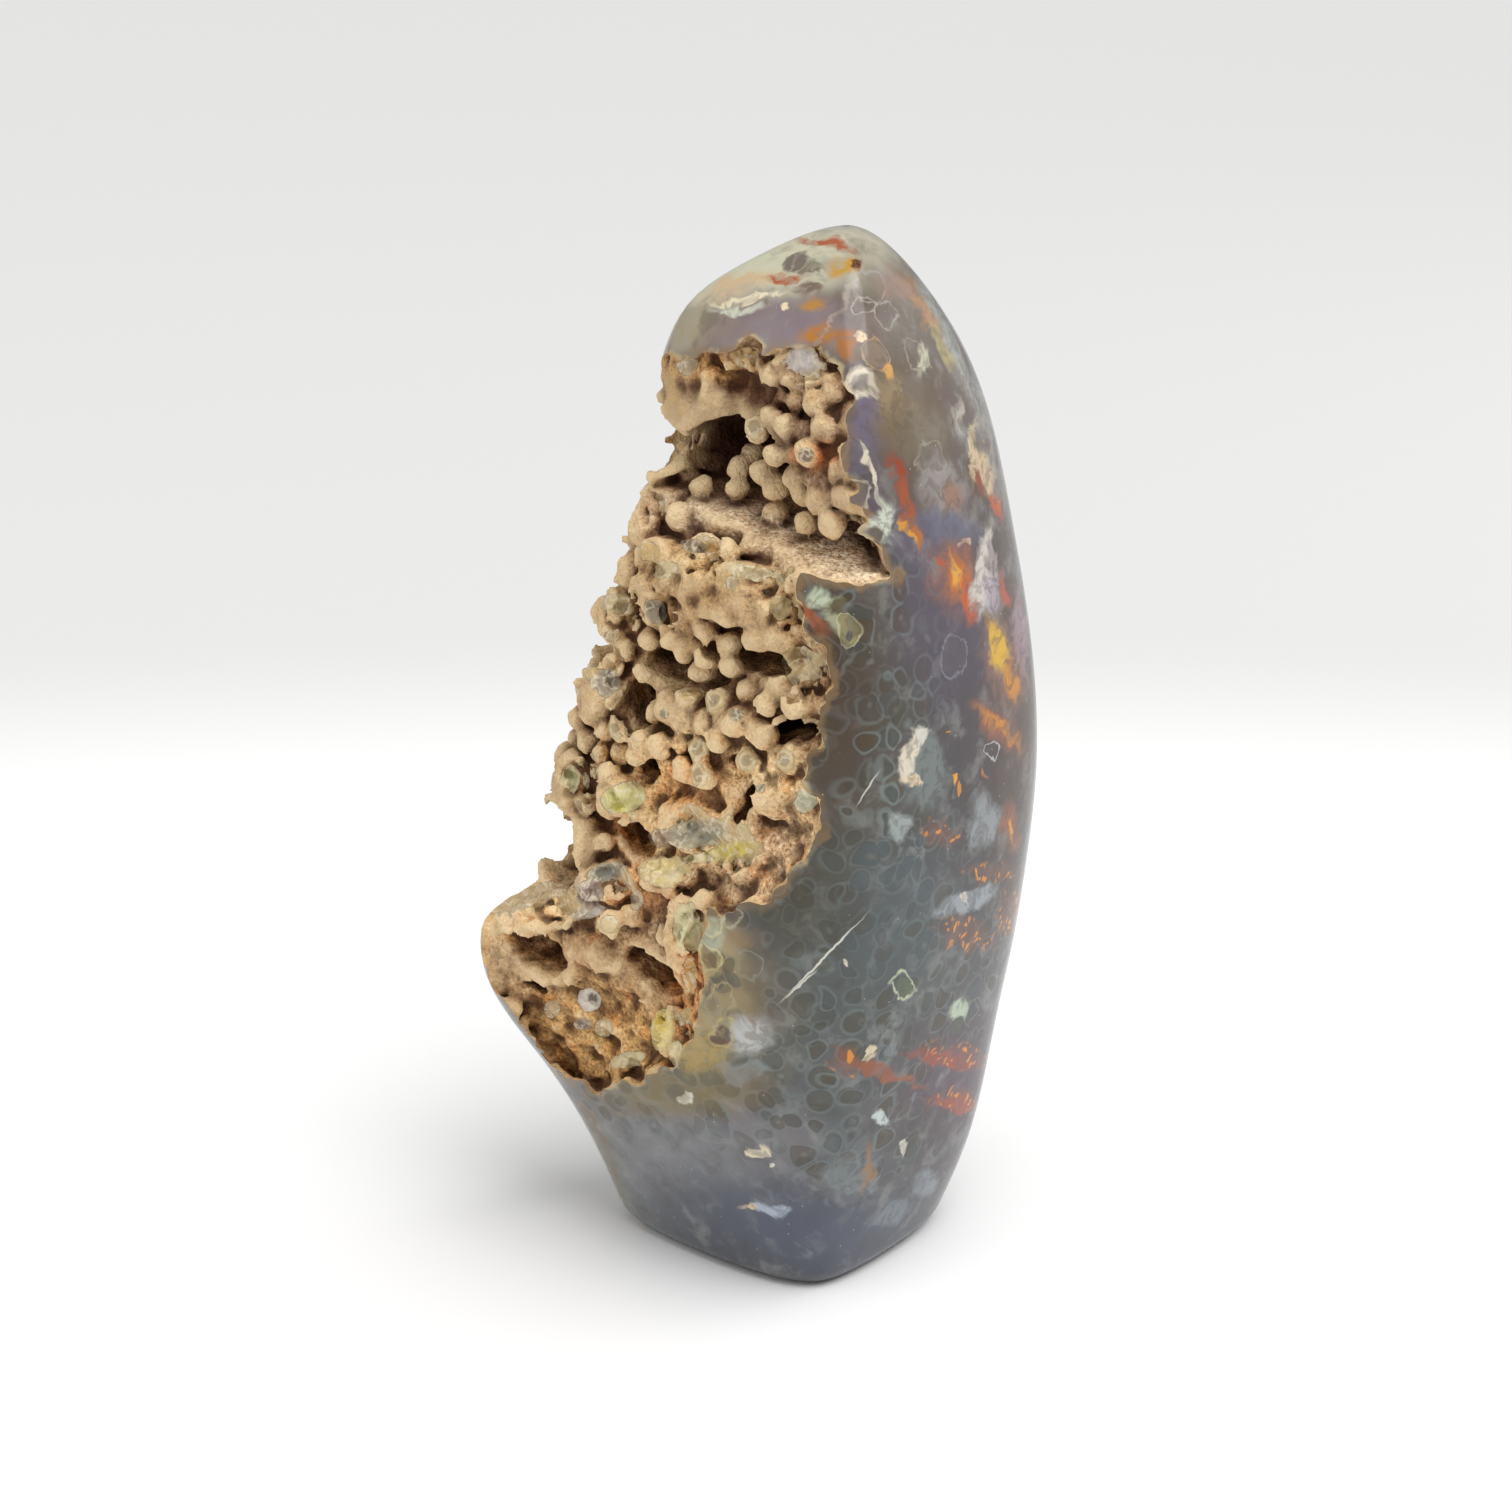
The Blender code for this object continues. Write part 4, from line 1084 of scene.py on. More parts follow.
    ("chip_d", 850, 961, 3.4, 4.6, 226, 216, 192, 0.3, 20),
    ("star", 883, 1118, 10, 7, 196, 206, 204, 0.3, -10),
    ("star_low", 904, 1146, 4, 7, 204, 200, 186, 0.3, 12), ("sky", 768, 1208, 16, 7, 172, 182, 196, 0.3, 4),
    ("sky_cream", 750, 1208, 8, 4.5, 218, 196, 164, 0.3, 4),
    ("milk_d", 926, 1184, 12, 16, 140, 148, 154, 0.4, 10, 0.8),
    ("milk_e", 892, 1214, 18, 12, 126, 134, 140, 0.4, 0, 0.8),
    ("tan_low", 868, 1170, 5, 26, 150, 118, 84, 0.5, -6, 0.9),
    ("lace_low", 846, 1178, 18, 26, 134, 142, 142, 0.5, 20, 0.6),
    ("yellow_rim", 700, 1052, 30, 20, 178, 154, 92, 0.5, 0, 0.8),
    ("milk_rim", 712, 935, 13, 16, 180, 184, 158, 0.4, 0, 0.8),
    ("milk_rim_low", 708, 966, 13, 14, 190, 172, 116, 0.4, 0, 0.8),
    ("rim_disc_a", 733, 912, 7, 12, 98, 84, 80, 0.3, -20), ("rim_disc_b", 706, 960, 7, 9, 120, 98, 62, 0.3),
    ("rim_disc_c", 721, 1034, 9, 12, 102, 82, 66, 0.3),
    ("rim_orange", 742, 938, 18, 12, 150, 118, 80, 0.6, 0, 0.5),
    ("rim_ring_a", 713, 921, 12, 14, 206, 200, 158, 0.4, 0, 0.8, 0.2),
    ("rim_ring_b", 732, 916, 11, 13, 186, 184, 156, 0.4, 0, 0.7, 0.2),
    ("rim_ring_c", 708, 959, 12, 12, 214, 200, 146, 0.4, 0, 0.8, 0.2),
    ("rim_ring_d", 721, 1002, 14, 14, 170, 156, 116, 0.4, 0, 0.8, 0.16),
    ("rim_ring_e", 722, 1030, 13, 15, 190, 172, 116, 0.4, 0, 0.8, 0.16),
    ("rim_ring_f", 752, 964, 13, 14, 146, 148, 134, 0.4, 0, 0.7, 0.16),
)
SCRATCHES = marks(
    ("scratch", 823, 959, 52, 1.1, 226, 224, 210, 0.5, 47, 0.9),
    ("scratch_low", 800, 985, 20, 1, 220, 218, 204, 0.5, 44, 0.9),
    ("scratch_high", 868, 788, 18, 0.9, 214, 212, 200, 0.5, 56, 0.8),
)
DOTTED = marks(
    ("dots_a", 944, 836, 20, 12, 150, 96, 72, 0.5, -24), ("dots_b", 992, 872, 32, 9, 150, 100, 74, 0.5, -8),
    ("dots_c", 966, 934, 34, 14, 140, 98, 76, 0.5, -24),
    ("dots_d", 958, 1056, 40, 12, 162, 80, 60, 0.5, -18),
    ("dots_e", 960, 1100, 34, 10, 160, 84, 62, 0.5, -18), ("dots_f", 1010, 915, 16, 24, 140, 104, 88),
    ("dots_g", 850, 1062, 14, 12, 140, 100, 66),
)
PLAIN_CRUST: Colour = (180, 150, 113)  # the crust's colour where no tint lies on it
# Crust tints that carry both the crust's own colour and the light of each region: cavity and cavity_left are
# painted shade under the brow, shelf is painted light on the shelf
CRUST_TINTS_AND_SHADING = marks(
    ("upper", 750, 480, 160, 170, 158, 128, 98, 0.6), ("brow", 700, 402, 74, 58, 112, 80, 56, 0.4),
    ("brow_top", 700, 366, 60, 14, 196, 150, 92, 0.6, -6), ("cavity", 748, 452, 52, 30, 64, 32, 18, 0.6),
    ("cavity_left", 690, 456, 40, 20, 120, 88, 66, 0.7),
    ("shelf", 770, 546, 120, 34, 255, 238, 208, 0.4, -14), ("shelf_post", 646, 512, 26, 36, 196, 166, 138),
    ("stalk_rust", 814, 455, 22, 13, 206, 124, 62, 0.6), ("mass", 710, 610, 120, 90, 168, 132, 88),
    ("mass_top", 700, 566, 60, 22, 196, 166, 118, 0.6, -8), ("tier", 720, 710, 120, 60, 166, 136, 98),
    ("slope", 700, 800, 130, 70, 236, 204, 152, 0.4),
    ("slope_rust", 690, 790, 50, 34, 216, 162, 100, 0.6, -10, 0.8),
    ("slope_rust_left", 622, 840, 26, 26, 184, 124, 66, 0.6, 0, 0.8),
    ("ledge", 550, 906, 84, 36, 255, 226, 176, 0.4, 20),
    ("ledge_rust", 640, 892, 40, 18, 200, 142, 88, 0.6, -20, 0.7),
    ("lower_cavity", 600, 970, 90, 40, 170, 134, 94, 0.5, -16),
    ("bowl", 600, 1035, 90, 50, 206, 166, 108, 0.5, -18),
    ("left_edge_top", 606, 610, 30, 60, 170, 138, 92, 0.5, 14),
    ("left_edge", 566, 800, 34, 90, 126, 94, 56, 0.5, 14),
    ("right_slope", 766, 860, 46, 60, 216, 184, 144, 0.6, 10),
    ("rust_post", 688, 985, 20, 60, 208, 150, 92, 0.6),
)
PLAIN_GLAZE: Colour = (206, 188, 146)  # the glassy places' colour where nothing tints it
GLAZE_TINTS = marks(
    ("upper", 700, 600, 200, 100, 196, 176, 130, 0.9), ("ledge", 530, 895, 60, 24, 206, 178, 126, 0.7, 20),
    ("bowl", 580, 1010, 90, 60, 186, 172, 140, 0.7),
)
GLASS = marks(
    ("knob", 802, 360, 17, 13, 216, 210, 212, 0.3, -10, 0.9),
    ("tooth", 742, 356, 16, 9, 214, 170, 110, 0.5, 10, 0.7),
    ("brow_left", 688, 366, 12, 9, 150, 136, 116, 0.5, 0, 0.8),
    ("inner", 826, 352, 9, 12, 214, 168, 108, 0.5, 20, 0.7),
    ("stalk_eye", 806, 455, 8, 8, 104, 84, 66, 0.3),
    ("shelf_bead", 694, 546, 14, 7, 126, 118, 106, 0.4, -10, 0.9),
    ("shelf_bead_right", 714, 550, 7, 9, 206, 150, 76, 0.5, 0, 0.8),
    ("left_bead", 650, 552, 11, 10, 214, 176, 112, 0.5, 0, 0.8),
    ("mass_shell", 748, 572, 26, 9, 222, 208, 170, 0.5, -14, 0.8),
    ("mass_cup", 780, 608, 12, 13, 214, 190, 138, 0.4, 0, 0.8),
    ("mass_disc", 732, 583, 8, 7, 170, 152, 120, 0.4, 0, 0.8),
    ("mass_left", 656, 612, 11, 14, 112, 108, 98, 0.4, 20, 0.9),
    ("mass_cream", 666, 570, 14, 11, 222, 200, 156, 0.5, 0, 0.7),
    ("left_crust", 618, 604, 22, 11, 214, 198, 158, 0.5, -16, 0.7),
    ("left_crust_low", 612, 636, 10, 7, 176, 158, 126, 0.5, 0, 0.7),
    ("shell", 800, 664, 19, 18, 224, 204, 156, 0.3, -20, 0.9),
    ("shell_hole", 797, 657, 10, 10, 146, 112, 66, 0.4, 0, 0.9),
    ("left_knob", 606, 682, 16, 15, 138, 134, 128, 0.4, 20, 0.8),
    ("left_knob_edge", 590, 672, 7, 10, 214, 176, 112, 0.5, 0, 0.8),
    ("tier_honey", 692, 694, 14, 7, 206, 178, 118, 0.5, 0, 0.9),
    ("tier_disc", 736, 715, 8, 7, 116, 112, 92, 0.3, 0, 0.9),
    ("tier_disc_left", 664, 714, 5, 5, 120, 112, 90, 0.3, 0, 0.9),
    ("left_green", 571, 778, 10, 14, 206, 204, 160, 0.5, 10, 0.9),
    ("green", 624, 798, 23, 15, 224, 222, 158, 0.4, 14), ("green_core", 618, 806, 9, 7, 206, 202, 96),
    ("slope_disc", 760, 788, 5, 5, 120, 116, 96, 0.3, 0, 0.9),
    ("slope_cream", 806, 800, 12, 13, 206, 214, 190, 0.5, 0, 0.9),
    ("plate", 694, 834, 32, 14, 160, 160, 142, 0.3, 8, 0.95),
    ("plate_left", 660, 838, 12, 10, 146, 122, 106, 0.5, 0, 0.9),
    ("plate_rim", 728, 852, 26, 9, 226, 204, 96, 0.5, 12),
    ("plate_rim_left", 700, 858, 18, 5, 238, 226, 180, 0.5, 4),
    ("honey", 664, 872, 24, 17, 228, 208, 142, 0.5, 0, 0.9), ("honey_core", 672, 876, 9, 7, 236, 224, 180),
    ("ledge_grey", 606, 872, 22, 9, 154, 156, 146, 0.4, 16, 0.95),
    ("ledge_violet", 590, 893, 13, 15, 142, 128, 134, 0.4, 0, 0.95),
    ("ledge_white", 590, 912, 18, 6, 222, 216, 206, 0.5, 14),
    ("ledge_pearl", 637, 900, 7, 10, 222, 206, 178),
    ("ledge_top", 530, 898, 46, 12, 188, 170, 138, 0.5, 22, 0.7),
    ("ledge_ball", 610, 924, 10, 9, 228, 206, 158, 0.4, 0, 0.9),
    ("ball_white", 589, 1000, 12, 12, 226, 222, 214, 0.3),
    ("ball_white_core", 593, 998, 5, 6, 92, 84, 80, 0.3),
    ("ball_left", 552, 1009, 8, 9, 196, 170, 130, 0.4), ("ball_low", 583, 1024, 9, 6, 134, 124, 116, 0.4),
    ("ball_right", 604, 1028, 9, 9, 206, 182, 138, 0.4),
    ("ball_foot", 628, 1060, 18, 8, 222, 212, 168, 0.5, 14),
    ("rim_glass", 663, 1030, 12, 22, 232, 214, 140, 0.4, -8),
    ("rim_glass_core", 659, 1024, 5, 14, 222, 196, 76), ("rim_glass_low", 676, 1052, 8, 12, 238, 226, 180),
    ("rim_milk", 686, 926, 13, 26, 224, 222, 176, 0.5, -4, 0.9),
    ("rim_milk_low", 690, 976, 8, 22, 226, 182, 112, 0.5, 0, 0.8),
)


class Nodes:
    """One material's nodes. Each method adds what it names and gives back the socket with the result.
    Places are in millimetres."""

    def __init__(self, name: str) -> None:
        """Starts an empty material.

        Args:
            name: The material's name.
        """
        self.material = bpy.data.materials.new(name)
        self.material.use_nodes = True
        self.tree = self.material.node_tree
        self.tree.nodes.clear()
        coordinates = self.add("ShaderNodeTexCoord", {})
        self.place = self.vector("SCALE", coordinates.outputs["Object"], scale=1 / MM)

    def add(self, kind: str, inputs: dict[str | int, Input], **settings: str | bool) -> bpy.types.Node:
        """A node of a kind.

        Args:
            kind: Blender's name for the kind of node.
            inputs: A socket to link or a value to set, for each input by its name or number.
            settings: The node's own settings.

        Returns:
            The node.
        """
        node = self.tree.nodes.new(kind)
        for name, value in settings.items():
            setattr(node, name, value)
        for key, value in inputs.items():
            if isinstance(value, Socket):
                self.tree.links.new(value, node.inputs[key])
            else:
                node.inputs[key].default_value = value
        return node

    def vector(self, operation: str, first: Input, second: Input = (0, 0, 0), scale: float = 1.0) -> Socket:
        """A vector sum, product, length and the like."""
        node = self.add("ShaderNodeVectorMath", {0: first, 1: second, 3: scale}, operation=operation)
        return node.outputs["Value" if operation in ("LENGTH", "DISTANCE") else "Vector"]

    def math(self, operation: str, first: Input, second: Input = 0.0, third: Input = 0.0) -> Socket:
        """A sum, product and the like of numbers."""
        return self.add("ShaderNodeMath", {0: first, 1: second, 2: third}, operation=operation).outputs[0]

    def times(self, first: Input, second: Input) -> Socket:
        """The product of two numbers."""
        return self.math("MULTIPLY", first, second)

    def fade(self, value: Input, low: float, high: float, start: float = 0.0, end: float = 1.0) -> Socket:
        """A smooth step of a value from start at low to end at high."""
        ends = {"Value": value, "From Min": low, "From Max": high, "To Min": start, "To Max": end}
        return self.add("ShaderNodeMapRange", ends, interpolation_type="SMOOTHSTEP").outputs[0]

    def band(self, value: Input, centre: float, width: float, strength: float = 1.0) -> Socket:
        """A strength where a value is at a centre, fading to 0 a width off it."""
        off = self.math("ABSOLUTE", self.math("SUBTRACT", value, centre))
        return self.fade(off, 0.0, width, strength, 0.0)

    def mix(self, share: Input, first: Input, second: Input, blend: str = "MIX") -> Socket:
        """The first colour turned into the second by a share."""
        node = self.add("ShaderNodeMix", {0: share, 6: first, 7: second}, data_type="RGBA", blend_type=blend)
        return node.outputs[2]

    def tinted(self, base: Input, colour: Colour, share: Input) -> Socket:
        """A colour turned into another, which is given as a screen shows it, by a share."""
        return self.mix(share, base, rgb(*colour))

    def toned(self, base: Input, colour: Colour, value: Input, *ends: float) -> Socket:
        """A colour turned into another by a fade of a value."""
        return self.tinted(base, colour, self.fade(value, *ends))

    def noise(
        self, size: float, detail: float = 2.0, place: Socket | None = None, rough: float = 0.5
    ) -> Socket:
        """Noise from 0 to 1 with bumps of a size."""
        inputs = {"Vector": place or self.place, "Scale": 1 / size, "Detail": detail, "Roughness": rough}
        return self.add("ShaderNodeTexNoise", inputs).outputs["Fac"]

    def shifted(
        self, amount: float, size: float, detail: float = 1.0, place: Socket | None = None
    ) -> Socket:
        """Places moved about at random.

        Args:
            amount: Twice the furthest that they move along an axis.
            size: The size of the swirls.
            detail: How many finer swirls lie on them.
            place: The places, or none for the piece's own.

        Returns:
            The socket with the moved places.
        """
        start = place or self.place
        inputs = {"Vector": start, "Scale": 1 / size, "Detail": detail}
        swirl = self.add("ShaderNodeTexNoise", inputs).outputs["Color"]
        centred = self.vector("SUBTRACT", swirl, (0.5, 0.5, 0.5))
        return self.vector("ADD", start, self.vector("SCALE", centred, scale=amount))

    def cells(self, size: float, place: Input, randomness: float = 1.0) -> tuple[Socket, Socket]:
        """Round cells.

        Args:
            size: From one to the next.
            place: The places to shade.
            randomness: How unevenly they lie.

        Returns:
            The distance to the nearest centre as a share of the size, and its own random colour.
        """
        inputs = {"Vector": place, "Scale": 1 / size, "Randomness": randomness}
        node = self.add("ShaderNodeTexVoronoi", inputs)
        return node.outputs["Distance"], node.outputs["Color"]

    def parts(self, colour: Input) -> tuple[Socket, ...]:
        """A colour's three numbers."""
        return tuple(self.add("ShaderNodeSeparateColor", {0: colour}).outputs)

    def grey(self, value: Input) -> Socket:
        """A grey colour from a number."""
        return self.add("ShaderNodeCombineColor", {0: value, 1: value, 2: value}).outputs[0]

    def stored(self, name: str, output: str = "Fac") -> Socket:
        """The number, or with the output Color the colour, that an attribute of the mesh holds."""
        return self.add("ShaderNodeAttribute", {}, attribute_name=name).outputs[output]

    def spared(self, mark: Mark, centre: Array, place: Input) -> Socket:
        """How much still shows beside a mark at each place: 1 off the mark and 1 less its strength on it,
        faded across its edge by the length of the place in shares of the mark's half lengths. In the view's
        direction the mark reaches 2.5 times its larger half length and 1 mm more.

        Args:
            mark: The mark.
            centre: Its place on the stone.
            place: The places to shade.

        Returns:
            The socket with what still shows.
        """
        pitch = float(np.linalg.norm(centre - VIEW.eye)) / VIEW.focal
        across, up = (half * pitch for half in mark.size)
        right, above, forward = VIEW.axes
        turned = math.radians(mark.turn)
        first = math.cos(turned) * right + math.sin(turned) * above
        basis = np.stack([first, forward, np.cross(first, forward)])
        share = 1 / np.array([across, 2.5 * max(across, up) + 1.0, up])
        inputs = {"Vector": place, "Rotation": Matrix(basis).transposed().to_euler()}
        around = self.add("ShaderNodeVectorRotate", inputs, rotation_type="EULER_XYZ", invert=True).outputs[0]
        inputs = {0: around, 1: share.tolist(), 2: (-(basis @ centre) * share).tolist()}
        scaled = self.add("ShaderNodeVectorMath", inputs, operation="MULTIPLY_ADD").outputs[0]
        far = self.vector("LENGTH", scaled)
        if mark.ring:
            return self.math("SUBTRACT", 1.0, self.band(far, 1.0, mark.ring, mark.strength))
        return self.fade(far, 1 - mark.soft, 1 + mark.soft, 1 - mark.strength, 1.0)

    def paint(self, base: Input, marks: Sequence[Mark], place: Input) -> Socket:
        """Marks laid over a colour, one after another. They are gathered on their own first, as a colour and
        as the share of the base that still shows, so that few numbers are held at a time.

        Args:
            base: The colour under them.
            marks: The marks, lowest first.
            place: The places to shade.

        Returns:
            The socket with the painted colour.
        """
        black = (0.0, 0.0, 0.0, 1.0)
        layer, bare = black, 1.0
        for mark, centre in zip(marks, FORM.hits([m.at for m in marks])):
            spared = self.spared(mark, centre, place)
            layer = self.mix(spared, rgb(*mark.colour), layer)
            bare = self.times(bare, spared)
        return self.mix(1.0, self.mix(bare, black, base), layer, "ADD")

    def beside(self, marks: Sequence[Mark], place: Input) -> Socket:
        """What still shows beside several marks: the least of what each leaves.

        Args:
            marks: The marks.
            place: The places to shade.

        Returns:
            The socket with what still shows.
        """
        total = 1.0
        for mark, centre in zip(marks, FORM.hits([m.at for m in marks])):
            total = self.math("MINIMUM", total, self.spared(mark, centre, place))
        return total

    def bump(self, height: Input, depth: float) -> Socket:
        """Normals bent by a height from 0 to 1 that stands for a depth."""
        inputs = {"Height": height, "Distance": depth * MM, "Strength": 1.0}
        return self.add("ShaderNodeBump", inputs).outputs[0]

    def finish(self, **inputs: Input) -> bpy.types.Material:
        """Closes the material with a principled shader.

        Args:
            inputs: The shader's inputs by their names, with underscores for spaces.

        Returns:
            The material.
        """
        named = {name.replace("_", " "): value for name, value in inputs.items()}
        shader = self.add("ShaderNodeBsdfPrincipled", named)
        self.add("ShaderNodeOutputMaterial", {"Surface": shader.outputs[0]})
        return self.material


@dataclass(frozen=True)
class PolishedJasper:
    """The polished stone: clouded grey ground with round orbs, then its veins, discs and flecks."""

    name: str = "polished_jasper"
    orb_size: float = 4.1  # from one orb to the next
    randomness: float = 0.7  # of their places
    ground: Colour = (98, 102, 104)
    cloud: Colour = (122, 116, 120)
    olive: Colour = (112, 104, 88)
    fine_dark: Colour = (70, 66, 60)
    fine_pale: Colour = (162, 162, 158)
    disc: Colour = (74, 75, 66)
    brown_disc: Colour = (82, 70, 48)
    slate_disc: Colour = (78, 88, 92)
    disc_edge: Colour = (66, 68, 60)
    eye: Colour = (122, 120, 104)
    wall: Colour = (116, 126, 124)
    milk: Colour = (150, 156, 156)
    honey: Colour = (150, 122, 84)
    rust: Colour = (140, 92, 74)
    dot: Colour = (216, 142, 62)
    speck: Colour = (220, 214, 196)
    rim_edge: Colour = (206, 184, 140)
    rough: float = 0.16
    wear: float = 0.1  # how far the roughness varies
    dent: float = 0.12
    index: float = 1.54
    gloss: float = 0.32

    def orbs(self, nodes: Nodes, ground: Input, size: float, place: Input, strength: Input) -> Socket:
        """One layer of orbs over a ground. An orb's radius is 0.31 to 0.47 of the size; within it lies a
        dark disc with a darker edge and in some a paler eye, and round it a pale wall.

        Args:
            nodes: The material's nodes.
            ground: The colour under the orbs.
            size: From one orb to the next.
            place: The places to shade.
            strength: How strongly the layer covers.

        Returns:
            The socket with the colour.
        """
        far, own = nodes.cells(size, place, self.randomness)
        first, second, third = nodes.parts(own)
        share = nodes.math("DIVIDE", far, nodes.math("MULTIPLY_ADD", first, 0.16, 0.31))
        warm = nodes.mix(second, rgb(*self.disc), rgb(*self.brown_disc))
        inside = nodes.toned(warm, self.slate_disc, third, 0.35, 0.9)
        inside = nodes.toned(inside, self.disc_edge, share, 0.7, 0.95, 0.0, 0.5)
        eye = nodes.times(nodes.fade(share, 0.1, 0.4, 0.8, 0.0), nodes.fade(first, 0.5, 0.8))
        inside = nodes.tinted(inside, self.eye, eye)
        shown = nodes.times(nodes.fade(share, 0.9, 1.04, 0.85, 0.0), strength)
        made = nodes.mix(shown, ground, inside)
        drawn = nodes.times(nodes.fade(second, 0.1, 0.9, 0.3, 0.95), strength)
        return nodes.mix(nodes.times(nodes.band(share, 1.1, 0.2), drawn), made, rgb(*self.wall))

    def build(self) -> bpy.types.Material:
        """Lays the finish down in the order of the stone's own layers; the tints and marks also hold painted
        shade at the foot and painted reflections at the lower left and along the right edge.

        Returns:
            The material.
        """
        nodes = Nodes(self.name)
        swirl = nodes.shifted(2.8, 3.4, 0.0)
        ragged = nodes.shifted(1.2, 1.0, 1.0, swirl)
        clouds = nodes.noise(16.0, 4.0)
        ground = nodes.toned(rgb(*self.ground), self.cloud, clouds, 0.35, 0.65)
        olive = nodes.fade(nodes.noise(30.0, 3.0, swirl), 0.5, 0.66)
        ground = nodes.tinted(ground, self.olive, nodes.times(olive, 0.6))
        drifted = nodes.shifted(7.0, 9.0, 2.0)
        # Broad tints, with painted shade at the foot and painted floor reflection at its lower left
        ground = nodes.paint(ground, POLISHED_TINTS_AND_SHADING, drifted)
        fine = nodes.noise(5.0, 4.0, swirl, 0.6)
        ground = nodes.toned(ground, self.fine_dark, fine, 0.3, 0.5, 0.4, 0.0)
        ground = nodes.toned(ground, self.fine_pale, fine, 0.5, 0.72, 0.0, 0.4)
        # Two layers of orbs, the deeper one larger, which leave calm places clear
        clear = nodes.fade(clouds, 0.36, 0.62, 0.65, 1.0)
        calm = nodes.times(clear, nodes.beside(CALM, swirl))
        deep = nodes.vector("ADD", nodes.place, (17.0, 9.0, 5.0))
        made = self.orbs(nodes, ground, self.orb_size * 1.15, deep, nodes.times(calm, 0.7))
        made = self.orbs(nodes, made, self.orb_size, swirl, nodes.times(calm, 0.9))
        made = nodes.paint(made, WASHES, drifted)
        milk = nodes.noise(9.0, 3.0, ragged, 0.6)
        made = nodes.toned(made, self.milk, milk, 0.62, 0.7, 0.0, 0.4)
        rim = nodes.stored("rim")
        torn = nodes.math("ADD", rim, nodes.math("MULTIPLY_ADD", fine, 5.0, -2.5))
        honey = nodes.times(nodes.fade(torn, 0.1, 1.2, 0.6, 0.0), nodes.fade(clouds, 0.4, 0.6, 0.3, 1.0))
        plain = nodes.tinted(made, self.honey, honey)
        # The placed marks, among them a painted reflection along the right edge, worn through to the plain
        # stone here and there
        made = nodes.paint(plain, MARKS, ragged)
        worn = nodes.fade(nodes.noise(1.8, 2.0, ragged, 0.6), 0.45, 0.62, 0.0, 0.5)
        made = nodes.mix(worn, made, plain)
        made = nodes.paint(made, SCRATCHES, nodes.shifted(0.6, 1.6, 1.0))
        # Orange dots in the dotted places, pale specks all over, and the broken edge of the rim
        spots, _ = nodes.cells(1.5, ragged, 1.0)
        spotted = nodes.math("SUBTRACT", 1.0, nodes.beside(DOTTED, ragged))
        dotted = nodes.times(spotted, nodes.fade(spots, 0.26, 0.36, 1.0, 0.0))
        made = nodes.tinted(made, self.rust, nodes.times(spotted, 0.4))
        made = nodes.tinted(made, self.dot, dotted)
        specks, _ = nodes.cells(2.6, nodes.place, 1.0)
        made = nodes.toned(made, self.speck, specks, 0.02, 0.045, 0.7, 0.0)
        edge = nodes.times(nodes.fade(rim, 0.0, 0.8, 0.7, 0.0), nodes.fade(fine, 0.5, 0.62))
        made = nodes.tinted(made, self.rim_edge, edge)
        rough = nodes.math("MULTIPLY_ADD", nodes.noise(1.4, 3.0), self.wear, self.rough - self.wear / 2)
        dents = nodes.bump(nodes.noise(7.0, 2.0), self.dent)
        return nodes.finish(
            Base_Color=made, Roughness=rough, IOR=self.index, Normal=dents, Specular_IOR_Level=self.gloss,
        )


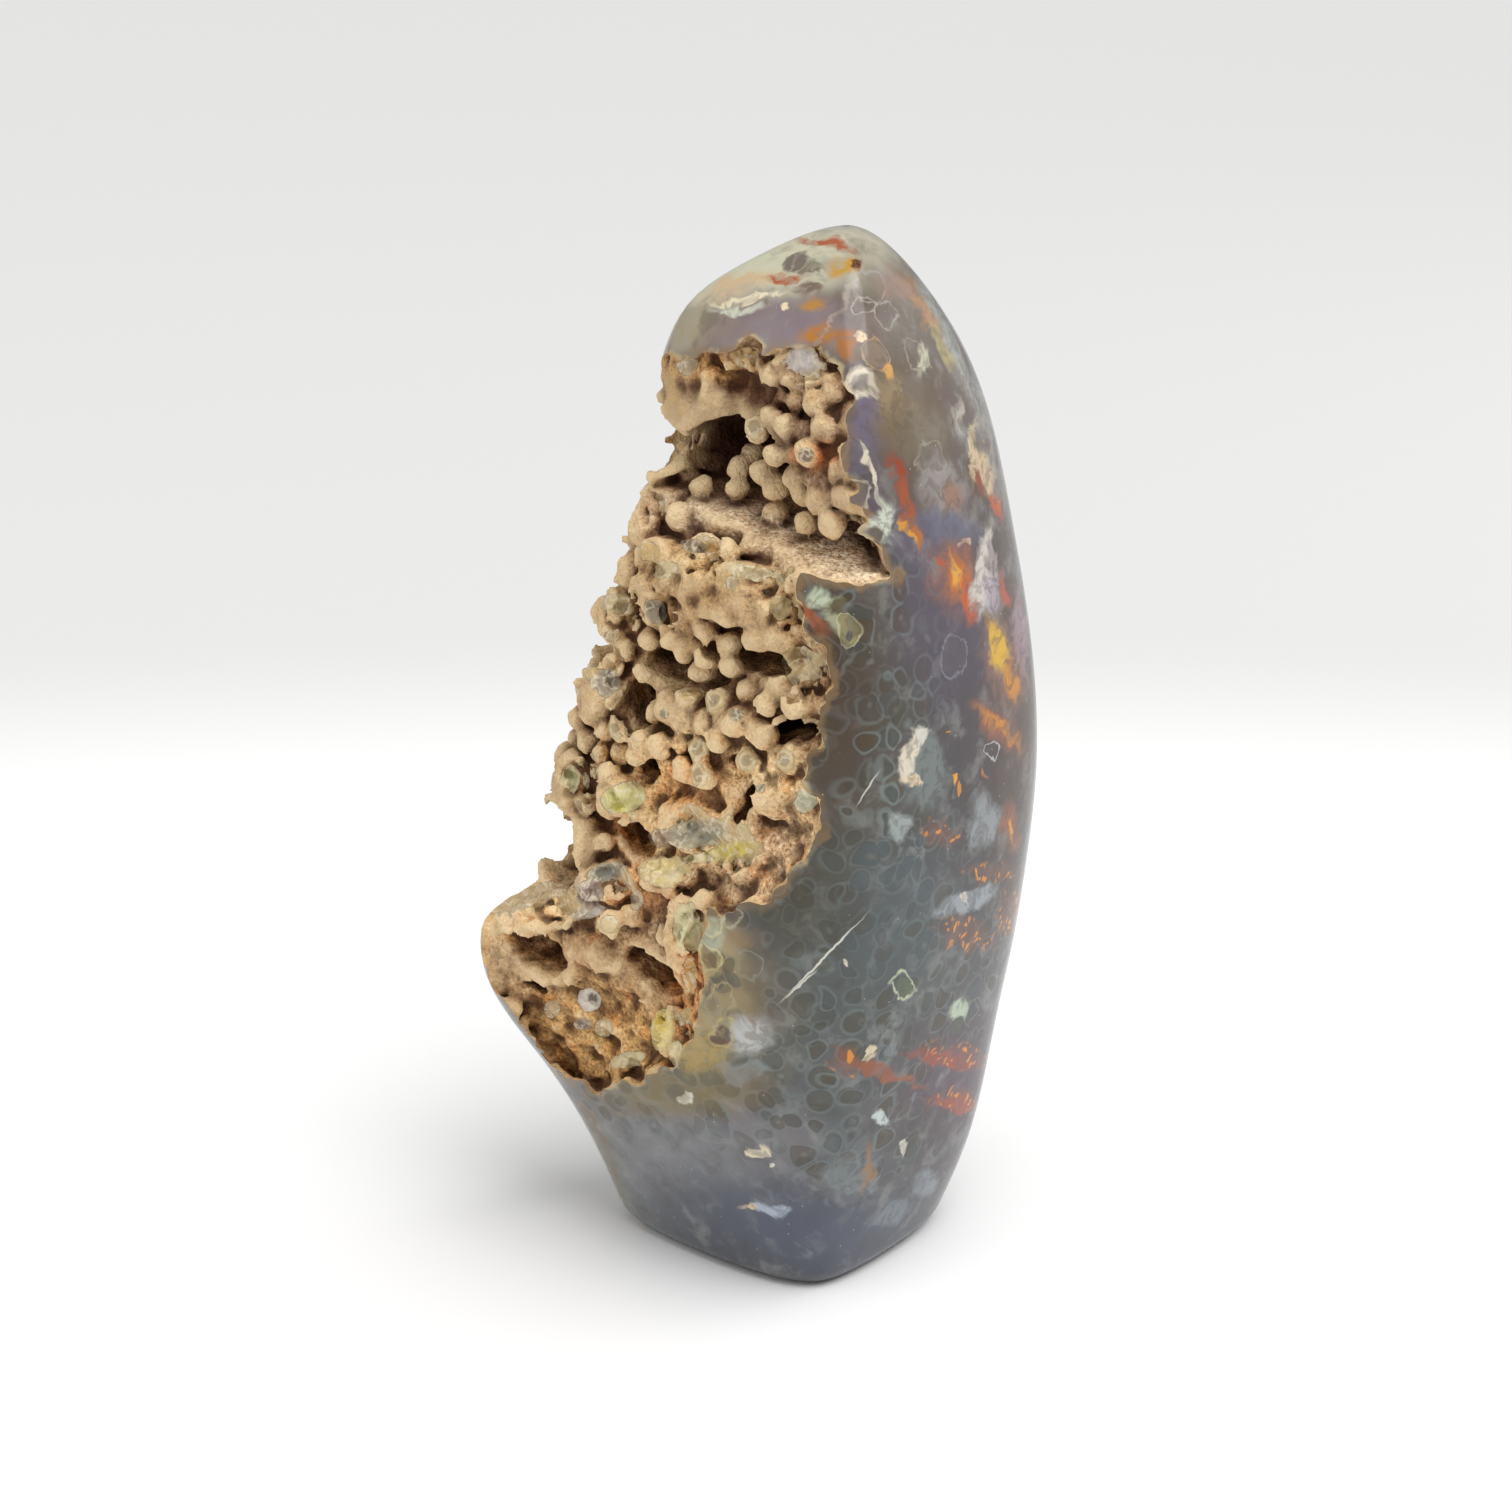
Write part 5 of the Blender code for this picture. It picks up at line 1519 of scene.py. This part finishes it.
@dataclass(frozen=True)
class SugarCrust:
    """The rough pocket: sandy beads with painted shade in the crevices and painted highlight on the crests,
    with glassy broken places and a pale rind just under the polished face."""

    name: str = "sugar_crust"
    grain: float = 0.6  # from one grain of sand to the next
    sand: Colour = (204, 166, 122)
    brown: Colour = (150, 108, 70)
    cream: Colour = (232, 196, 140)
    rust: Colour = (208, 142, 76)
    sand_dark: Colour = (104, 62, 34)
    sand_pale: Colour = (246, 220, 182)
    # Painted shade for creases and deep hollows, and painted highlight for crests and what stands out
    crease: Colour = (76, 42, 20)
    painted_crest_highlight: Colour = (255, 232, 186)
    depth: Colour = (34, 16, 7)
    height: Colour = (255, 224, 176)
    rind: Colour = (226, 202, 150)
    rind_brown: Colour = (200, 150, 84)
    glass_milk: Colour = (206, 172, 112)
    core_ring: Colour = (226, 204, 160)
    core: Colour = (136, 124, 96)
    glass_line: Colour = (250, 240, 214)
    rough: float = 0.85
    glass_rough: float = 0.24
    relief: float = 0.6
    index: float = 1.5
    gloss: float = 0.4

    def build(self) -> bpy.types.Material:
        """Lays the finish down: sand, shade, rind, glass and relief.

        Returns:
            The material.
        """
        nodes = Nodes(self.name)
        open_share, broken, depth = (nodes.stored(name) for name in ("open", "broken", "depth"))
        ragged = nodes.shifted(0.8, 1.2, 2.0)
        patchy = nodes.noise(3.4, 4.0, ragged, 0.6)
        made = nodes.toned(rgb(*self.sand), self.brown, patchy, 0.3, 0.5, 0.4, 0.0)
        made = nodes.toned(made, self.cream, patchy, 0.5, 0.7, 0.0, 0.4)
        rust = nodes.fade(nodes.noise(5.0, 3.0, ragged, 0.65), 0.5, 0.62, 0.0, 0.65)
        height = nodes.add("ShaderNodeSeparateXYZ", {0: nodes.place}).outputs["Z"]
        low = nodes.fade(height, 78.0, 100.0, 1.0, 0.4)
        made = nodes.tinted(made, self.rust, nodes.times(rust, low))
        sand = nodes.noise(self.grain, 3.0, nodes.place, 0.65)
        made = nodes.toned(made, self.sand_dark, sand, 0.36, 0.5, 0.7, 0.0)
        made = nodes.toned(made, self.sand_pale, sand, 0.54, 0.66, 0.0, 0.75)
        # The crust tints multiply in, with the painted light and shade that they carry
        made = nodes.mix(1.0, made, nodes.stored("tint_and_shading", "Color"), "MULTIPLY")
        # Painted shade in creases and deep hollows, painted highlight on crests and on what stands out
        crease = nodes.stored("crease")
        made = nodes.toned(made, self.crease, crease, 0.34, 0.56, 0.9, 0.0)
        made = nodes.toned(made, self.painted_crest_highlight, crease, 0.56, 0.74, 0.0, 0.65)
        made = nodes.toned(made, self.depth, open_share, 0.12, 0.33, 0.95, 0.0)
        made = nodes.toned(made, self.height, open_share, 0.46, 0.7, 0.0, 0.6)
        jag = nodes.math("MULTIPLY_ADD", nodes.noise(1.8, 3.0, ragged), 3.2, -1.6)
        here = nodes.fade(nodes.noise(6.0, 2.0), 0.4, 0.6, 0.1, 0.8)
        rind = nodes.times(nodes.fade(nodes.math("ADD", depth, jag), 0.1, 1.3, 1.0, 0.0), here)
        made = nodes.mix(rind, made, nodes.mix(patchy, rgb(*self.rind), rgb(*self.rind_brown)))
        # The glassy places, with milky patches, the cores of cut beads and pale lines
        glass = nodes.stored("glass")
        shards = nodes.math("MULTIPLY_ADD", nodes.noise(1.6, 3.0, ragged), 1.1, -0.55)
        shown = nodes.math("MAXIMUM", nodes.times(broken, 0.85), glass)
        glassy = nodes.fade(nodes.math("ADD", shown, shards), 0.42, 0.56)
        core = nodes.math("ADD", nodes.stored("core"), nodes.math("MULTIPLY_ADD", patchy, 0.3, -0.15))
        milky = nodes.times(nodes.fade(patchy, 0.3, 0.7, 0.0, 0.6), nodes.math("SUBTRACT", 1.0, glass))
        glaze = nodes.mix(milky, nodes.stored("glaze", "Color"), rgb(*self.glass_milk))
        glaze = nodes.toned(glaze, self.core_ring, core, 0.1, 0.3, 0.0, 0.5)
        glaze = nodes.toned(glaze, self.core, core, 0.34, 0.5, 0.0, 0.7)
        rings = nodes.band(nodes.noise(2.6, 2.0, ragged), 0.5, 0.05)
        glaze = nodes.tinted(glaze, self.glass_line, nodes.times(rings, 0.55))
        made = nodes.mix(nodes.times(glassy, 0.85), made, glaze)
        rough = nodes.math("MULTIPLY_ADD", glassy, self.glass_rough - self.rough, self.rough)
        facets, _ = nodes.cells(1.4, ragged, 1.0)
        coarse = nodes.math("MULTIPLY_ADD", nodes.noise(1.2, 2.0), 0.7, sand)
        relief = nodes.mix(glassy, nodes.grey(coarse), nodes.grey(facets))
        grains = nodes.bump(nodes.parts(relief)[0], self.relief)
        return nodes.finish(
            Base_Color=made, Roughness=rough, IOR=self.index, Normal=grains, Specular_IOR_Level=self.gloss,
        )


@dataclass(frozen=True)
class PaleFloor:
    """The studio floor: white round the stone, and a very pale grey further off, painted shade that stands in
    for the light falling off towards the back.
    """

    name: str = "pale_floor"
    near: float = 150.0
    far: float = 300.0
    squeeze: float = 0.5  # of distances to the left and right
    white: float = 0.95
    grey: float = 0.72
    rough: float = 0.9
    relief: float = 0.01
    gloss: float = 0.1

    def build(self) -> bpy.types.Material:
        """Lays the finish down.

        Returns:
            The material.
        """
        nodes = Nodes(self.name)
        away = nodes.vector("LENGTH", nodes.vector("MULTIPLY", nodes.place, (self.squeeze, 1.0, 0.0)))
        # Painted shade: the floor turns grey further off
        made = nodes.grey(nodes.fade(away, self.near, self.far, self.white, self.grey))
        faint = nodes.bump(nodes.noise(0.8, 2.0), self.relief)
        return nodes.finish(
            Base_Color=made, Roughness=self.rough, Normal=faint, Specular_IOR_Level=self.gloss,
        )


# The stone's mesh


def mesh_object(name: str, points: Array, faces: Sequence[Sequence[int]]) -> bpy.types.Object:
    """An object at the origin with a mesh of points in millimetres.

    Args:
        name: The object's name.
        points: Rows of X, Y and Z.
        faces: The points of each face, in order round it.

    Returns:
        The object, linked to the scene.
    """
    mesh = bpy.data.meshes.new(name)
    mesh.from_pydata(points * MM, [], faces)
    mesh.update()
    made = bpy.data.objects.new(name, mesh)
    bpy.context.scene.collection.objects.link(made)
    return made


def read(items: bpy.types.bpy_prop_collection, name: str, width: int, kind: type = np.float32) -> Array:
    """One property of all of a mesh's items.

    Args:
        items: The mesh's points, edges, faces or corners.
        name: The property.
        width: How many numbers it has.
        kind: Their type.

    Returns:
        A row of that width for each item, or a number where the width is 1.
    """
    values = np.empty(len(items) * width, kind)
    items.foreach_get(name, values)
    return values.reshape(-1, width) if width > 1 else values


def keep_largest(mesh: bpy.types.Mesh) -> None:
    """Takes away all parts of a mesh but the largest. Each point carries the least number among the points
    that edges join it to, until no number changes.

    Args:
        mesh: The mesh, changed in place.
    """
    ends = read(mesh.edges, "vertices", 2, np.int32)
    part, before = np.arange(len(mesh.vertices)), None
    while before is None or (part != before).any():
        before = part.copy()
        least = np.minimum(part[ends[:, 0]], part[ends[:, 1]])
        np.minimum.at(part, ends[:, 0], least)
        np.minimum.at(part, ends[:, 1], least)
        part = part[part]
    loose = np.flatnonzero(part != np.bincount(part).argmax())
    work = bmesh.new()
    work.from_mesh(mesh)
    work.verts.ensure_lookup_table()
    bmesh.ops.delete(work, geom=[work.verts[i] for i in loose], context="VERTS")
    work.to_mesh(mesh)
    work.free()


def cover(points: Array, mark: Mark) -> Array:
    """How far a mark covers points of the mesh: a smooth step of their length in shares of the mark's half
    lengths, in the view, times its strength.

    Args:
        points: Places in millimetres.
        mark: The mark.

    Returns:
        A share for each point.
    """
    columns, rows = VIEW.pixels(*points.T)
    right, up = columns - mark.at[0], mark.at[1] - rows
    c, s = math.cos(math.radians(mark.turn)), math.sin(math.radians(mark.turn))
    far = np.hypot((right * c + up * s) / mark.size[0], (up * c - right * s) / mark.size[1])
    share = np.clip((1 + mark.soft - far) / (2 * mark.soft), 0, 1)
    return share * share * (3 - 2 * share) * mark.strength


def painted(points: Array, base: Colour, marks: Sequence[Mark]) -> Array:
    """Marks laid over a colour at points of the mesh, each turning the colour into its own by its cover.

    Args:
        points: Places in millimetres.
        base: The colour under the marks.
        marks: The marks, lowest first.

    Returns:
        Rows of red, green, blue and 1.
    """
    made = np.tile(np.array(rgb(*base)), (len(points), 1))
    for mark in marks:
        share = cover(points, mark)[:, None]
        made = made * (1 - share) + np.array(rgb(*mark.colour)) * share
    return made


@dataclass
class Stone:
    """The whole stone as one mesh: the polished outside with the pocket's space taken out of it."""

    sides: int = 128
    foot_rings: int = 6
    trunk_rings: int = 84
    dome_rings: int = 20
    dome_start: float = 130.0
    edge_crowding: float = 0.5  # how far the sides crowd towards the four edges
    front_crowding: float = 0.35  # and towards the front
    foot_middle: float = 8.0  # the X of the foot's middle point
    top_middle: float = 12.3
    # The two blurs below set where the crust paints shade in hollows and creases and highlight on what stands
    # out
    open_blur: float = 2.4  # the radius that tells deep hollows from what stands out
    crease_blur: float = 1.1  # and the one that tells creases from crests
    pocket: Pocket = field(default_factory=Pocket)

    def outside(self) -> bpy.types.Object:
        """The polished outside: rings of surface points from foot to top, closed by a point at each end. The
        foot's rings keep to a quarter circle, and the dome's lie closer towards the top by a square.

        Returns:
            Its object.
        """
        foot = FORM.foot_rounding * (1 - np.cos(np.linspace(0, math.pi / 2, self.foot_rings + 1)[:-1]))
        trunk = np.linspace(FORM.foot_rounding, self.dome_start, self.trunk_rings)
        rise = 1 - np.arange(1, self.dome_rings) / self.dome_rings
        dome = TOP - (TOP - self.dome_start) * rise**2
        heights = np.concatenate([foot, trunk, dome])
        turn = np.arange(self.sides) / self.sides * 2 * math.pi
        angle = turn - self.edge_crowding * np.sin(4 * turn) / 4 + self.front_crowding * np.cos(turn)
        rings = FORM.surface(angle[None, :], heights[:, None])
        ends = [[self.foot_middle, FORM.side_edge, 0.0], [self.top_middle, FORM.side_edge, TOP]]
        points = np.concatenate([rings.reshape(-1, 3), np.array(ends)])
        number = np.arange(len(heights) * self.sides).reshape(len(heights), self.sides)
        after = np.roll(number, -1, axis=1)
        walls = np.stack([number[:-1], after[:-1], after[1:], number[1:]], -1).reshape(-1, 4)
        foot_end, top_end = len(points) - 2, len(points) - 1
        foot_fan = np.stack([after[0], number[0], np.full(self.sides, foot_end)], -1)
        top_fan = np.stack([number[-1], after[-1], np.full(self.sides, top_end)], -1)
        faces = walls.tolist() + foot_fan.tolist() + top_fan.tolist()
        return mesh_object("ocean_jasper", points, faces)

    def space(self) -> bpy.types.Object:
        """The pocket's space as a closed mesh round the places where its distance is negative.

        Returns:
            Its object.
        """
        grid = openvdb.FloatGrid(BLOCK.step * 8)
        grid.copyFromArray(np.ascontiguousarray(self.pocket.void(), dtype=np.float32))
        points, quads = grid.convertToQuads(isovalue=0.0)
        return mesh_object("pocket_space", points * BLOCK.step + np.array(BLOCK.low), quads.tolist())

    def build(self) -> bpy.types.Object:
        """The stone: its outside less the pocket's space.

        Returns:
            Its object.
        """
        self.pocket.work_out()
        stone, space = self.outside(), self.space()
        finishes = [PolishedJasper().build(), SugarCrust().build()]
        for made in (stone, space):
            for finish in finishes:
                made.data.materials.append(finish)
        space.data.polygons.foreach_set("material_index", np.ones(len(space.data.polygons), np.int32))
        cut = stone.modifiers.new("pocket", "BOOLEAN")
        cut.solver, cut.operation, cut.object = "MANIFOLD", "DIFFERENCE", space
        graph = bpy.context.evaluated_depsgraph_get()
        whole = bpy.data.meshes.new_from_object(stone.evaluated_get(graph))
        stone.modifiers.clear()
        stone.data = whole
        bpy.data.objects.remove(space)
        keep_largest(whole)
        self.dress(whole)
        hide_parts(NODE)
        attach(stone, "root")
        return stone

    def dress(self, mesh: bpy.types.Mesh) -> None:
        """Gives the mesh its normals, and the numbers and colours that its finishes read.

        Args:
            mesh: The stone's mesh, with the pocket cut.
        """
        points = read(mesh.vertices, "co", 3) / MM
        self.set_normals(mesh, points)
        pocket = self.pocket
        solid = ((pocket.face < 0) & (pocket.void() > 0)).astype(np.float32)
        fields = {
            "depth": -pocket.face,
            "rim": pocket.opening,
            "broken": pocket.broken,
            "core": pocket.core,
            # Shares of open space round each point, by which the crust paints shade and highlight
            "open": 1 - BLOCK.blur(solid, self.open_blur),
            "crease": 1 - BLOCK.blur(solid, self.crease_blur),
        }
        numbers = {name: BLOCK.sample(values, points) for name, values in fields.items()}
        numbers["glass"] = np.max([cover(points, mark) for mark in GLASS], axis=0)
        for name, values in numbers.items():
            layer = mesh.attributes.new(name, "FLOAT", "POINT")
            layer.data.foreach_set("value", values.astype(np.float32))
        colours = {
            # The crust tints, with their painted light and shade, as shares of the plain crust
            "tint_and_shading": painted(points, PLAIN_CRUST, CRUST_TINTS_AND_SHADING) / np.array(rgb(*PLAIN_CRUST)),
            "glaze": painted(points, PLAIN_GLAZE, GLAZE_TINTS + GLASS),
        }
        for name, values in colours.items():
            layer = mesh.attributes.new(name, "FLOAT_COLOR", "POINT")
            layer.data.foreach_set("color", values.astype(np.float32).ravel())

    def set_normals(self, mesh: bpy.types.Mesh, points: Array) -> None:
        """Normals for each corner: the polished form's own on polished faces, straight down on the foot, and
        in the pocket the sum of the faces round a point, each by its area. The rim so stays sharp.

        Args:
            mesh: The stone's mesh.
            points: Its points, in millimetres.
        """
        owners = read(mesh.loops, "vertex_index", 1, np.int32)
        faces = np.repeat(np.arange(len(mesh.polygons)), read(mesh.polygons, "loop_total", 1, np.int32))
        rough = read(mesh.polygons, "material_index", 1, np.int32)[faces] == 1
        flat = read(mesh.polygons, "normal", 3)
        sized = (flat * read(mesh.polygons, "area", 1)[:, None])[faces[rough]]
        sums = [np.bincount(owners[rough], sized[:, axis], len(points)) for axis in range(3)]
        ways = np.stack(sums, -1)[owners]
        ways[~rough] = FORM.normals(points[owners[~rough]])
        ways[~rough & (flat[faces, 2] < -0.9)] = (0, 0, -1)
        ways /= np.maximum(np.linalg.norm(ways, axis=1, keepdims=True), 1e-9)
        mesh.polygons.foreach_set("use_smooth", np.ones(len(mesh.polygons), bool))
        mesh.normals_split_custom_set(ways.astype(np.float32))


# The studio


@dataclass(frozen=True)
class Softbox:
    """A square area light: its place, the point it faces, its side, and its power in watts."""

    name: str
    place: tuple[float, float, float]
    target: tuple[float, float, float]
    side: float
    power: float

    def build(self) -> None:
        """Adds the light."""
        lamp = bpy.data.lights.new(self.name, "AREA")
        lamp.shape, lamp.size, lamp.energy = "SQUARE", self.side, self.power
        holder = bpy.data.objects.new(self.name, lamp)
        holder.location = self.place
        holder.rotation_euler = (Vector(self.place) - Vector(self.target)).to_track_quat("Z", "Y").to_euler()
        bpy.context.scene.collection.objects.link(holder)


@dataclass(frozen=True)
class WideLight:
    """An even light from one side that is as broad as a large softbox far off: where it comes from in
    degrees to the right of the front and above the floor, its breadth in degrees and its strength."""

    name: str = "overhead_softbox"
    side: float = 50.0
    height: float = 66.0
    breadth: float = 50.0
    strength: float = 2.3

    def build(self) -> None:
        """Adds the light."""
        lamp = bpy.data.lights.new(self.name, "SUN")
        lamp.energy, lamp.angle = self.strength, math.radians(self.breadth)
        holder = bpy.data.objects.new(self.name, lamp)
        holder.rotation_euler = (math.radians(90 - self.height), 0, math.radians(self.side))
        bpy.context.scene.collection.objects.link(holder)


@dataclass(frozen=True)
class Studio:
    """The pale floor, the softboxes and the even light of the room."""

    floor_radius: float = 6000.0
    rings: int = 24
    sides: int = 72
    room: float = 0.42  # the strength of the room's even light
    room_colour: tuple[float, float, float, float] = (1.0, 0.99, 0.975, 1.0)
    lights: tuple[Softbox | WideLight, ...] = (
        WideLight(),
        Softbox("softbox_left", (-0.75, -0.35, 0.55), (0.0, 0.0, 0.08), 0.7, 1.2),
        Softbox("softbox_right", (0.7, 0.35, 0.35), (0.0, 0.0, 0.08), 0.5, 0.8),
    )

    def floor(self) -> bpy.types.Object:
        """The floor: rings whose radius grows with the square of their number, round one middle point.

        Returns:
            Its object.
        """
        radius = self.floor_radius * (np.arange(1, self.rings + 1) / self.rings) ** 2
        turn = np.arange(self.sides) / self.sides * 2 * math.pi
        x, y = radius[:, None] * np.cos(turn), radius[:, None] * np.sin(turn)
        points = np.concatenate([np.stack([x, y, np.zeros_like(x)], -1).reshape(-1, 3), np.zeros((1, 3))])
        number = np.arange(self.rings * self.sides).reshape(self.rings, self.sides)
        after = np.roll(number, -1, axis=1)
        bands = np.stack([number[:-1], number[1:], after[1:], after[:-1]], -1).reshape(-1, 4)
        middle = np.stack([number[0], after[0], np.full(self.sides, len(points) - 1)], -1)
        made = mesh_object("studio_floor", points, bands.tolist() + middle.tolist())
        made.data.materials.append(PaleFloor().build())
        return made

    def build(self) -> bpy.types.Object:
        """Adds the light of the room, the softboxes and the floor.

        Returns:
            The floor.
        """
        scene = bpy.context.scene
        scene.view_settings.view_transform = "Standard"
        world = bpy.data.worlds.new("room")
        world.use_nodes = True
        glow = world.node_tree.nodes["Background"]
        glow.inputs["Color"].default_value = self.room_colour
        glow.inputs["Strength"].default_value = self.room
        scene.world = world
        for light in self.lights:
            light.build()
        return self.floor()


def main() -> None:
    """Builds the camera, the stone and the studio, and keeps the sizes."""
    logging.basicConfig(level=logging.INFO, format="%(message)s")
    VIEW.make_camera()
    for piece in (Stone().build(), Studio().build()):
        LOG.info("%s: %d faces", piece.name, len(piece.data.polygons))


if __name__ == "__main__":
    main()
